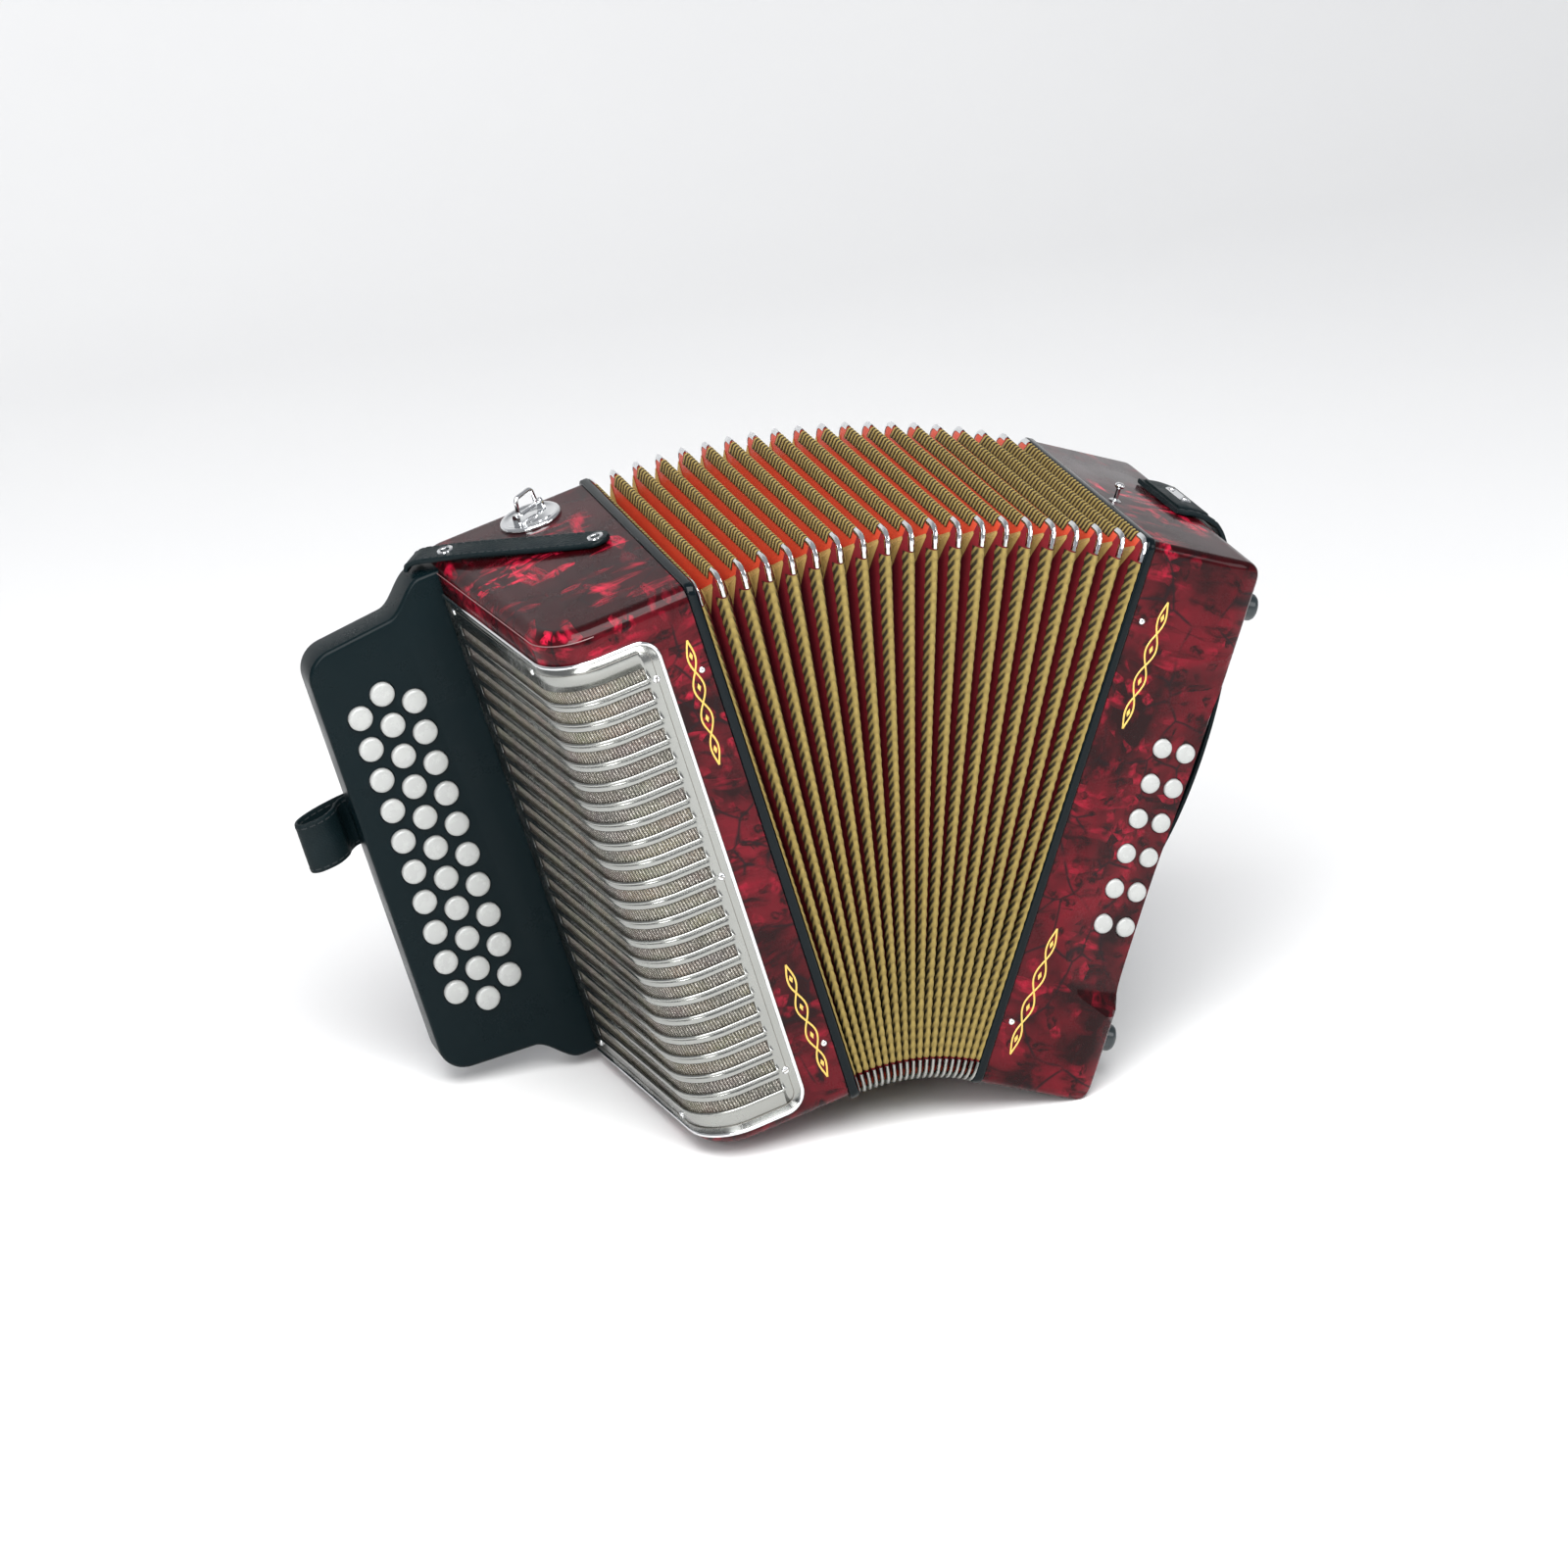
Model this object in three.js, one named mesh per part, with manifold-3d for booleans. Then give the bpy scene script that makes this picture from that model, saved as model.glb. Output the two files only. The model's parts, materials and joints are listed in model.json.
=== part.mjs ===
// A three-row diatonic button accordion, standing on its two lower edges with the bellows fanned open.
// Millimetres, +Z up, +X from the treble side to the bass side, +Y away from the audience.
// Each half is drawn upright in its own frame and then leaned: the treble half to the left, the bass
// half to the right. The origin is the bottom centre of the whole instrument's box.
import * as THREE from "three";
import { mergeVertices } from "three/addons/utils/BufferGeometryUtils.js";
import Module from "manifold-3d";

const wasm = await Module();
wasm.setup();

// ---------------------------------------------------------------- driving dimensions
const HEIGHT = 310; // both casings
const DEPTH = 193; // both casings, front to back
const WALL = 5; // casing walls
const GAP = 0.3; // between pieces that touch
const EDGE = 3; // chamfer round the treble casing's top and bottom

const FAN_ANGLE = 35; // degrees between the two halves as it stands
const TREBLE_LEAN = 14.2; // degrees, the treble half's share of the fan
const CLOSED_WIDTH = 75; // casing to casing with the bellows shut
const PIVOT_DROP = 4; // the fan's pivot, below the bottom of the casings
const FOLDS = 19; // peaks to peaks, the outer two on the frames
const FOLD_DEPTH = 15;
const BELLOWS_WALL = 2;

const TREBLE_WIDTH_FRONT = 79.3; // the treble side face slants outwards to the back
const TREBLE_WIDTH_BACK = 97;
const TREBLE_CORNER = 28; // the big rounded front corner
const BACK_CORNER = 14;
const SOUNDBOARD = 4; // the inner bulkhead that carries the reeds
const TREBLE_REED_CHAMBER = 30; // bellows side of the bulkhead
const BASS_REED_CHAMBER = 28;

const FRAME_THICK = 5.5;
const FRAME_PROUD = 1.2;
const FRAME_BORDER = 13;
const FRAME_CORNER = 6;

const GRILLE_THICK = 1.2;
const GRILLE_EDGE_X = -23; // the flange's edge on the front face
const GRILLE_LOW = 8;
const GRILLE_HIGH = 293;
const GRILLE_CORNER = 12;
const SLOTS = 22;
const SLOT_PITCH = 11.864;
const SLOT_HEIGHT = 8.2;
const SLOT_FIRST_Z = 25.5;
const SLOT_END_X = -33.5;
const SLOT_END_Y = 143;

const BOARD_FRONT = 159;
const BOARD_THICK = 25;
const BOARD_CENTRE_Z = 157;
const BOARD_INNER_HALF = 149.5; // half height beside the casing
const BOARD_SHOULDER_HALF = 133; // where the S-curve ends
const BOARD_OUTER_HALF = 128.5;
const BOARD_OUTER_X = -178;
const BOARD_CORNER = 16;
const SHOULDER_IN_X = -104;
const SHOULDER_OUT_X = -128;

const MELODY_ROWS = [
  { x: -158.6, top: 244.3, count: 10 },
  { x: -143.2, top: 252.6, count: 11 },
  { x: -127.9, top: 241.8, count: 10 },
];
const MELODY_PITCH = 19.0;
const MELODY_RADIUS = 6.75;
const MELODY_PROUD = 2.8;
const MELODY_LENGTH = 10;
const MELODY_HOLE = 14;

const BASS_WIDTH = 66;
const BASS_FRONT_WALL = 19; // thick enough to hold the hand recess
const BASS_CORNER = 10; // round all the outer edges
const BASS_COLUMNS = [
  { x: 42.2, low: 98.8 },
  { x: 57.9, low: 97.8 },
];
const BASS_ROWS = 6;
const BASS_PITCH = 20.35;
const BASS_RADIUS = 5.4;
const BASS_PROUD = 2.6; // above the recess floor
const BASS_BUTTON_END = 16; // how far back the buttons reach, at rest
const BUTTON_CLEARANCE = 0.35;

// The hand recess in the bass front: at each height, where it starts and how deep its outer edge is.
const RECESS_SECTIONS = [
  { z: 48, left: 63, depth: 0.1 },
  { z: 53, left: 51, depth: 6 },
  { z: 59.5, left: 37, depth: 13 },
  { z: 69, left: 28, depth: 15 },
  { z: 88, left: 20, depth: 15.5 },
  { z: 128, left: 18, depth: 15.5 },
  { z: 165, left: 18, depth: 13 },
  { z: 205, left: 18, depth: 10.5 },
  { z: 228, left: 21, depth: 8.5 },
  { z: 243, left: 32, depth: 5.5 },
  { z: 252, left: 47, depth: 2.5 },
  { z: 258, left: 63, depth: 0.1 },
];

const RECESS_REACH = BASS_WIDTH + 1; // just past the bass casing's outer face

const COVER_THICK = 3.5;
const FOOT_RADIUS = 7.5;
const FOOT_LENGTH = 13;
const FOOT_HEIGHTS = [31, 281];
const FOOT_DEPTHS = [27.5, 168];

const HAND_STRAP_WIDTH = 60;
const HAND_STRAP_FRONT = 80;
const HAND_STRAP_THICK = 3;
const THUMB_STRAP_WIDTH = 30;
const THUMB_STRAP_LOW = 165;
const THUMB_STRAP_THICK = 2;
const CLOSING_STRAP_WIDTH = 15;
const CLOSING_STRAP_THICK = 2.6;
const CLOSING_STRAP_START = [-98, 165]; // where it comes over the treble casing's side edge
const CLOSING_STRAP_TURN = -34.2; // degrees, its run across the top

const BRACKET_CENTRE = [-35, 168];
const BRACKET_RADIUS = 17;
const BRACKET_THICK = 2.2;
const RING_TURN = 32; // degrees, the ring's bar seen from above
const RING_WIDTH = 17;
const RING_TALL = 11;
const RING_BAR = 2.4;
const RING_PIVOT = 3.2; // above the bracket's disc
const LUG_THICK = 2;

const POST_PLACE = [6.5, 80];
const POST_HEIGHT = 10.5;
const AIR_BUTTON_PLACE = [52, 262];
const AIR_BUTTON_RADIUS = 7;
const AIR_BUTTON_PROUD = 6;

const rad = THREE.MathUtils.degToRad;

// ---------------------------------------------------------------- finishes
function finish(color, roughness, metalness) {
  return new THREE.MeshStandardMaterial({ color, roughness, metalness });
}
const RED_PEARL = finish(0x6e1020, 0.15, 0.1);
const BLACK_LACQUER = finish(0x0b1113, 0.3, 0);
const NICKEL = finish(0xcfccc2, 0.25, 1);
const CHROME = finish(0xe4e6e8, 0.08, 1);
const PEARL_WHITE = finish(0xdcdcd6, 0.3, 0);
const LEATHER = finish(0x10181a, 0.55, 0);
const PLEATED_CARD = finish(0x9a7a2e, 0.7, 0);
const WOOD = finish(0xb58a56, 0.6, 0);
const COVER_BLACK = finish(0x14181a, 0.5, 0);

// ---------------------------------------------------------------- building helpers
function solidOf(geometry) {
  const bare = geometry.index ? geometry.toNonIndexed() : geometry.clone();
  bare.deleteAttribute("normal");
  bare.deleteAttribute("uv");
  const merged = mergeVertices(bare, 1e-4);
  return new wasm.Manifold(
    new wasm.Mesh({
      numProp: 3,
      vertProperties: merged.attributes.position.array,
      triVerts: new Uint32Array(merged.index.array),
    }),
  );
}

function geometryOf(solid) {
  const mesh = solid.getMesh();
  const geometry = new THREE.BufferGeometry();
  geometry.setAttribute("position", new THREE.BufferAttribute(mesh.vertProperties, 3));
  geometry.setIndex(new THREE.BufferAttribute(mesh.triVerts, 1));
  return geometry;
}

// Corners are [x, y] or [x, y, radius]; a radius puts an arc of a few steps in place of the corner.
function rounded(corners, steps = 4) {
  const outline = [];
  corners.forEach(([x, y, radius = 0], i) => {
    const corner = new THREE.Vector2(x, y);
    if (radius === 0) {
      outline.push(corner);
      return;
    }
    const before = new THREE.Vector2(...corners.at(i - 1)).sub(corner).normalize();
    const after = new THREE.Vector2(...corners[(i + 1) % corners.length]).sub(corner).normalize();
    const half = Math.acos(before.dot(after)) / 2;
    const middle = before.clone().add(after).normalize();
    const centre = corner.clone().addScaledVector(middle, radius / Math.sin(half));
    const start = corner.clone().addScaledVector(before, radius / Math.tan(half)).sub(centre);
    const sweep = Math.PI - 2 * half;
    const turn = Math.sign(before.x * after.y - before.y * after.x);
    for (let k = 0; k <= steps; k++) {
      const arm = start.clone().rotateAround(new THREE.Vector2(), (-turn * sweep * k) / steps);
      outline.push(arm.add(centre));
    }
  });
  return outline;
}

// A prism whose outline lies in the XY plane and which runs up from low to high.
function uprightPrism(outline, low, high) {
  const geometry = new THREE.ExtrudeGeometry(new THREE.Shape(outline), {
    depth: high - low,
    bevelEnabled: false,
  });
  return geometry.translate(0, 0, low);
}

// A prism whose outline is seen from the front, in X and Z, and which runs back from near to far.
function frontPrism(outline, near, far, holes = []) {
  const shape = new THREE.Shape(outline);
  shape.holes = holes.map((hole) => new THREE.Path(hole));
  const geometry = new THREE.ExtrudeGeometry(shape, { depth: far - near, bevelEnabled: false });
  return geometry.rotateX(Math.PI / 2).translate(0, far, 0);
}

// A prism whose outline is seen from the side, in Y and Z, and which runs from x = left to right.
function sidePrism(outline, left, right, holes = []) {
  const shape = new THREE.Shape(outline);
  shape.holes = holes.map((hole) => new THREE.Path(hole));
  const geometry = new THREE.ExtrudeGeometry(shape, { depth: right - left, bevelEnabled: false });
  return geometry.rotateZ(Math.PI / 2).rotateY(Math.PI / 2).translate(left, 0, 0);
}

function block(x0, x1, y0, y1, z0, z1) {
  const geometry = new THREE.BoxGeometry(x1 - x0, y1 - y0, z1 - z0);
  return geometry.translate((x0 + x1) / 2, (y0 + y1) / 2, (z0 + z1) / 2);
}

function rectangle(x0, x1, y0, y1) {
  return [
    [x0, y0],
    [x1, y0],
    [x1, y1],
    [x0, y1],
  ];
}

// The outline of a flat band of even thickness that follows a smooth line through the points.
function bandOutline(points, thickness, steps) {
  const line = new THREE.SplineCurve(points.map(([x, y]) => new THREE.Vector2(x, y)));
  const left = [];
  const right = [];
  for (let k = 0; k <= steps; k++) {
    const place = line.getPoint(k / steps);
    const along = line.getTangent(k / steps);
    const across = new THREE.Vector2(-along.y, along.x).multiplyScalar(thickness / 2);
    left.push(place.clone().add(across));
    right.unshift(place.clone().sub(across));
  }
  return [...left, ...right];
}

// A closed skin over rings of equal point count, with flat ends.
function loft(rings) {
  const count = rings[0].length;
  const positions = rings.flat(2);
  const index = [];
  for (let r = 0; r + 1 < rings.length; r++) {
    for (let i = 0; i < count; i++) {
      const a = r * count + i;
      const b = r * count + ((i + 1) % count);
      index.push(a, b, b + count, a, b + count, a + count);
    }
  }
  const last = (rings.length - 1) * count;
  for (let i = 1; i + 1 < count; i++) {
    index.push(0, i + 1, i, last, last + i, last + i + 1);
  }
  const geometry = new THREE.BufferGeometry();
  geometry.setAttribute("position", new THREE.Float32BufferAttribute(positions, 3));
  geometry.setIndex(index);
  return geometry;
}

// A round piece turned about the Y axis; the profile is [radius, depth] pairs from the front.
function turned(profile, sides) {
  const points = profile.map(([radius, depth]) => new THREE.Vector2(radius, -depth));
  return new THREE.LatheGeometry(points.reverse(), sides).rotateX(Math.PI);
}

function cut(geometry, cutters) {
  return geometryOf(cutters.reduce((solid, cutter) => solid.subtract(solidOf(cutter)), solidOf(geometry)));
}

function join(geometries) {
  return geometryOf(geometries.map(solidOf).reduce((solid, next) => solid.add(next)));
}

function piece(parent, name, geometry, material) {
  const mesh = new THREE.Mesh(geometry, material);
  mesh.name = name;
  parent.add(mesh);
  return mesh;
}

// ---------------------------------------------------------------- treble half
function sideX(y) {
  return -(TREBLE_WIDTH_FRONT + ((TREBLE_WIDTH_BACK - TREBLE_WIDTH_FRONT) * y) / DEPTH);
}

// The treble casing's plan, moved inwards by inset; its bellows side runs to x = right.
function treblePlan(inset, right) {
  return rounded([
    [right, inset],
    [right, DEPTH - inset],
    [sideX(DEPTH - inset) + inset, DEPTH - inset, BACK_CORNER - inset],
    [sideX(inset) + inset, inset, TREBLE_CORNER - inset],
  ]);
}

function trebleCasing() {
  const shape = new THREE.Shape(treblePlan(0, 2 * EDGE));
  const shell = new THREE.ExtrudeGeometry(shape, {
    depth: HEIGHT - 2 * EDGE,
    bevelThickness: EDGE,
    bevelSize: EDGE,
    bevelOffset: -EDGE,
    bevelSegments: 1,
  }).translate(0, 0, EDGE);
  const beyond = block(0, 4 * EDGE, -EDGE, DEPTH + EDGE, -EDGE, HEIGHT + EDGE);
  const reedChamber = block(-TREBLE_REED_CHAMBER, 4 * EDGE, WALL, DEPTH - WALL, WALL, HEIGHT - WALL);
  const actionPlan = treblePlan(WALL, -TREBLE_REED_CHAMBER - SOUNDBOARD);
  const actionChamber = uprightPrism(actionPlan, WALL, HEIGHT - WALL);
  const grilleWindow = block(-120, SLOT_END_X + 1.5, -EDGE, 148, 20, 284);
  const windows = [0, 1, 2].map((k) =>
    block(-TREBLE_REED_CHAMBER - 2 * SOUNDBOARD, -TREBLE_REED_CHAMBER + 1, 74, 96, 42 + 78 * k, 112 + 78 * k),
  );
  return cut(shell, [beyond, reedChamber, actionChamber, grilleWindow, ...windows]);
}

function melodyGrille() {
  const side = BOARD_FRONT - 1.5;
  const out = GAP + GRILLE_THICK;
  const plan = rounded([
    [GRILLE_EDGE_X, -out],
    [GRILLE_EDGE_X, -GAP],
    [sideX(-GAP) - GAP, -GAP, TREBLE_CORNER + GAP],
    [sideX(side) - GAP, side],
    [sideX(side) - out, side],
    [sideX(-out) - out, -out, TREBLE_CORNER + out],
  ]);
  const sheet = solidOf(uprightPrism(plan, GRILLE_LOW, GRILLE_HIGH));
  const front = rounded([
    [-150, GRILLE_LOW],
    [GRILLE_EDGE_X, GRILLE_LOW, GRILLE_CORNER],
    [GRILLE_EDGE_X, GRILLE_HIGH, GRILLE_CORNER],
    [-150, GRILLE_HIGH],
  ]);
  let grille = sheet.intersect(solidOf(frontPrism(front, -10, DEPTH)));
  for (let k = 0; k < SLOTS; k++) {
    const middle = SLOT_FIRST_Z + k * SLOT_PITCH;
    const slot = block(-150, SLOT_END_X, -10, SLOT_END_Y, middle - SLOT_HEIGHT / 2, middle + SLOT_HEIGHT / 2);
    grille = grille.subtract(solidOf(slot));
  }
  return geometryOf(grille);
}

// The upper half of the fingerboard's outline, from the casing out to the far corner.
function boardHalf() {
  const steps = 5;
  const half = [[-85, BOARD_INNER_HALF]];
  for (let k = 0; k <= steps; k++) {
    const share = (1 - Math.cos((Math.PI * k) / steps)) / 2;
    const x = SHOULDER_IN_X + ((SHOULDER_OUT_X - SHOULDER_IN_X) * k) / steps;
    half.push([x, BOARD_INNER_HALF + (BOARD_SHOULDER_HALF - BOARD_INNER_HALF) * share]);
  }
  half.push([BOARD_OUTER_X, BOARD_OUTER_HALF, BOARD_CORNER]);
  return half;
}

function melodyPlaces() {
  return MELODY_ROWS.flatMap(({ x, top, count }) =>
    Array.from({ length: count }, (_, i) => [x, top - i * MELODY_PITCH]),
  );
}

function holeCutter(x, z, radius, near, far) {
  const sides = 8;
  const around = radius / Math.cos(Math.PI / sides);
  const shaft = new THREE.CylinderGeometry(around, around, far - near, sides);
  return shaft.rotateY(Math.PI / sides).translate(x, (near + far) / 2, z);
}

function fingerboard() {
  const upper = boardHalf();
  const lower = upper.map(([x, z, ...radius]) => [x, -z, ...radius]).reverse();
  const outline = rounded([...upper, ...lower]).map((p) => new THREE.Vector2(p.x, p.y + BOARD_CENTRE_Z));
  const board = frontPrism(outline, BOARD_FRONT, BOARD_FRONT + BOARD_THICK);
  const besideCasing = uprightPrism(treblePlan(-GAP, 20), -10, HEIGHT + 10);
  const holes = melodyPlaces().map(([x, z]) =>
    holeCutter(x, z, MELODY_RADIUS + BUTTON_CLEARANCE, BOARD_FRONT - 1, BOARD_FRONT + MELODY_HOLE),
  );
  return cut(board, [besideCasing, ...holes]);
}

function button(radius, length) {
  const rim = 1;
  const profile = [
    [0, 0],
    [radius - rim, 0],
    [radius, rim],
    [radius, length],
    [0, length],
  ];
  return turned(profile, 10);
}

function reedBlock(foot, crest, y0, y1, z0, z1) {
  const slope = 6;
  const outline = [
    [foot, y0],
    [crest, y0 + slope],
    [crest, y1 - slope],
    [foot, y1],
  ];
  return uprightPrism(rounded(outline), z0, z1);
}

function bellowsFrame(left) {
  const grow = FRAME_PROUD;
  const outer = rounded([
    [-grow, -grow, FRAME_CORNER],
    [DEPTH + grow, -grow, FRAME_CORNER],
    [DEPTH + grow, HEIGHT + grow, FRAME_CORNER],
    [-grow, HEIGHT + grow, FRAME_CORNER],
  ], 3);
  const hole = rectangle(FRAME_BORDER, DEPTH - FRAME_BORDER, FRAME_BORDER, HEIGHT - FRAME_BORDER);
  return sidePrism(outer, left, left + FRAME_THICK - GAP, [rounded(hole)]);
}

function thumbStrap() {
  const line = [
    [-146, 188.6],
    [-168, 188.6],
    [-183, 187.6],
    [-197, 184],
    [-206, 179],
    [-208.5, 173.5],
    [-204, 170],
    [-194, 171],
    [-187, 176],
    [-183, 182.5],
    [-175, 186],
    [-146, 185.9],
  ];
  const low = THUMB_STRAP_LOW;
  return uprightPrism(bandOutline(line, THUMB_STRAP_THICK, 26), low, low + THUMB_STRAP_WIDTH);
}

function closingStrap() {
  const rest = HEIGHT + GAP + CLOSING_STRAP_THICK / 2;
  const line = [
    [-5, rest - 1],
    [3, rest + 0.2],
    [30, rest + 0.4],
    [70, rest + 1],
    [95, rest + 3.5],
    [118, rest + 6.5],
  ];
  const band = frontPrism(bandOutline(line, CLOSING_STRAP_THICK, 12), 0, CLOSING_STRAP_WIDTH);
  const [x, y] = CLOSING_STRAP_START;
  return band.translate(0, -CLOSING_STRAP_WIDTH / 2, 0).rotateZ(rad(CLOSING_STRAP_TURN)).translate(x, y, 0);
}

// The bracket is drawn about its own centre with its ring's bar along X.
function onBracket(geometry) {
  const [x, y] = BRACKET_CENTRE;
  return geometry.rotateZ(rad(RING_TURN)).translate(x, y, HEIGHT + GAP);
}

function strapBracket() {
  const disc = new THREE.CylinderGeometry(BRACKET_RADIUS, BRACKET_RADIUS, BRACKET_THICK, 20);
  const plate = disc.rotateX(Math.PI / 2).translate(0, 0, BRACKET_THICK / 2);
  const near = RING_WIDTH / 2 + 0.4;
  const top = BRACKET_THICK + RING_PIVOT + 2;
  const lugs = [-1, 1].map((side) => {
    const inner = Math.min(side * near, side * (near + LUG_THICK));
    return block(inner, inner + LUG_THICK, -2, 2, BRACKET_THICK - 1, top);
  });
  const bore = new THREE.CylinderGeometry(1.2, 1.2, 2 * RING_WIDTH, 8);
  bore.rotateZ(Math.PI / 2).translate(0, 0, BRACKET_THICK + RING_PIVOT);
  const body = solidOf(plate).add(solidOf(lugs[0])).add(solidOf(lugs[1]));
  return onBracket(geometryOf(body.subtract(solidOf(bore))));
}

function strapRing() {
  const half = RING_WIDTH / 2;
  const base = BRACKET_THICK + RING_PIVOT;
  const outer = rectangle(-half, half, base - RING_BAR / 2, base + RING_TALL);
  const hole = rectangle(
    -half + RING_BAR,
    half - RING_BAR,
    base + RING_BAR / 2,
    base + RING_TALL - RING_BAR,
  );
  const loop = frontPrism(rounded(outer), -RING_BAR / 2, RING_BAR / 2, [rounded(hole)]);
  const pin = new THREE.CylinderGeometry(0.8, 0.8, RING_WIDTH + 2 * LUG_THICK, 8);
  pin.rotateZ(Math.PI / 2).translate(0, 0, base);
  return onBracket(join([loop, pin]));
}

// ---------------------------------------------------------------- the fan between the halves
const pivot = new THREE.Vector2(CLOSED_WIDTH / 2, -PIVOT_DROP); // in the treble half's frame, X and Z
const halfFan = rad(FAN_ANGLE / 2);
const apexDrop = (pivot.x - FRAME_THICK - GAP) / Math.sin(halfFan);
const apex = new THREE.Vector2(
  pivot.x - apexDrop * Math.sin(halfFan),
  pivot.y - apexDrop * Math.cos(halfFan),
);
const apexRadius = -apex.y; // from the apex line to the bottom of the bellows

// One rectangular ring of the bellows in the plane turned by angle about the apex line.
function bellowsRing(angle, inset) {
  const low = apexRadius + inset;
  const high = apexRadius + HEIGHT - inset;
  return rectangle(inset, DEPTH - inset, low, high).map(([y, reach]) => [
    apex.x + reach * Math.sin(angle),
    y,
    apex.y + reach * Math.cos(angle),
  ]);
}

function bellows() {
  const outer = [];
  const inner = [];
  for (let k = 0; k <= 2 * FOLDS; k++) {
    const angle = rad((FAN_ANGLE * k) / (2 * FOLDS));
    outer.push(bellowsRing(angle, k % 2 === 0 ? 0 : FOLD_DEPTH));
    inner.push(bellowsRing(angle, FOLD_DEPTH + BELLOWS_WALL));
  }
  const ring = 4;
  const positions = [...outer, ...inner].flat(2);
  const innerStart = outer.length * ring;
  const index = [];
  const quad = (a, b, c, d) => index.push(a, b, c, a, c, d);
  for (let i = 0; i < ring; i++) {
    const j = (i + 1) % ring;
    for (let r = 0; r + 1 < outer.length; r++) {
      const row = r * ring;
      quad(row + i, row + j, row + ring + j, row + ring + i);
      quad(innerStart + row + j, innerStart + row + i, innerStart + row + ring + i, innerStart + row + ring + j);
    }
    const end = (outer.length - 1) * ring;
    quad(j, i, innerStart + i, innerStart + j);
    quad(end + i, end + j, innerStart + end + j, innerStart + end + i);
  }
  const geometry = new THREE.BufferGeometry();
  geometry.setAttribute("position", new THREE.Float32BufferAttribute(positions, 3));
  geometry.setIndex(index);
  return geometry;
}

// ---------------------------------------------------------------- bass half
function bassOutline() {
  return rounded([
    [0, 0],
    [BASS_WIDTH, 0, BASS_CORNER],
    [BASS_WIDTH, HEIGHT, BASS_CORNER],
    [0, HEIGHT],
  ]);
}

// How far back the floor of the hand recess lies at one place.
function recessFloor(x, z) {
  const above = RECESS_SECTIONS.findIndex((section) => section.z > z);
  const low = RECESS_SECTIONS[above - 1];
  const high = RECESS_SECTIONS[above];
  const share = (z - low.z) / (high.z - low.z);
  const left = THREE.MathUtils.lerp(low.left, high.left, share);
  const depth = THREE.MathUtils.lerp(low.depth, high.depth, share);
  return (depth * (x - left)) / (RECESS_REACH - left);
}

function bassPlaces() {
  return BASS_COLUMNS.flatMap(({ x, low }) =>
    Array.from({ length: BASS_ROWS }, (_, i) => [x, low + (BASS_ROWS - 1 - i) * BASS_PITCH]),
  );
}

function recessCutter() {
  const clear = -8; // well in front of the casing
  const rings = RECESS_SECTIONS.map(({ z, left, depth }) => [
    [left, clear, z],
    [RECESS_REACH, clear, z],
    [RECESS_REACH, depth, z],
    [left, 0, z],
  ]);
  return loft(rings);
}

function bassCasing() {
  const plan = rounded([
    [0, 0],
    [BASS_WIDTH, 0, BASS_CORNER],
    [BASS_WIDTH, DEPTH, BASS_CORNER],
    [0, DEPTH],
  ]);
  const front = frontPrism(bassOutline(), 0, DEPTH);
  const shell = geometryOf(solidOf(front).intersect(solidOf(uprightPrism(plan, 0, HEIGHT))));
  const back = DEPTH - WALL;
  const top = HEIGHT - WALL;
  const bulkhead = BASS_REED_CHAMBER + SOUNDBOARD;
  const reedChamber = block(-1, BASS_REED_CHAMBER, BASS_FRONT_WALL, back, WALL, top);
  const actionChamber = block(bulkhead, BASS_WIDTH + 1, BASS_FRONT_WALL, back, BASS_CORNER, HEIGHT - BASS_CORNER);
  const windows = [0, 1].map((k) =>
    block(BASS_REED_CHAMBER - 1, bulkhead + 1, 85, 115, 60 + 105 * k, 145 + 105 * k),
  );
  const holes = bassPlaces().map(([x, z]) =>
    holeCutter(x, z, BASS_RADIUS + BUTTON_CLEARANCE, -5, BASS_FRONT_WALL + 1),
  );
  return cut(shell, [reedChamber, actionChamber, recessCutter(), ...windows, ...holes]);
}

function endCover() {
  const near = BASS_WIDTH - COVER_THICK;
  const plate = block(
    near,
    BASS_WIDTH,
    BASS_FRONT_WALL + GAP,
    DEPTH - WALL - GAP,
    BASS_CORNER + GAP,
    HEIGHT - BASS_CORNER - GAP,
  );
  const feet = FOOT_HEIGHTS.flatMap((z) =>
    FOOT_DEPTHS.map((y) => {
      const foot = new THREE.CylinderGeometry(FOOT_RADIUS, FOOT_RADIUS, FOOT_LENGTH + 1, 10);
      return foot.rotateZ(Math.PI / 2).translate(BASS_WIDTH + (FOOT_LENGTH - 1) / 2, y, z);
    }),
  );
  const airRadius = AIR_BUTTON_RADIUS + BUTTON_CLEARANCE + GAP;
  const airHole = new THREE.CylinderGeometry(airRadius, airRadius, 4 * COVER_THICK, 12);
  airHole.rotateZ(Math.PI / 2).translate(BASS_WIDTH, ...AIR_BUTTON_PLACE);
  return geometryOf(solidOf(join([plate, ...feet])).subtract(solidOf(airHole)));
}

function handStrap() {
  const rest = HEIGHT + GAP + HAND_STRAP_THICK / 2;
  const line = [
    [40, rest],
    [58, rest + 0.5],
    [71, 308],
    [82, 292],
    [93, 263],
    [101, 225],
    [103.5, 185],
    [101, 145],
    [93, 107],
    [82, 80],
    [73, 62],
    [68.6, 50],
    [67.9, 40],
    [67.8, 22],
  ];
  const near = HAND_STRAP_FRONT;
  return frontPrism(bandOutline(line, HAND_STRAP_THICK, 26), near, near + HAND_STRAP_WIDTH);
}

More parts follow.
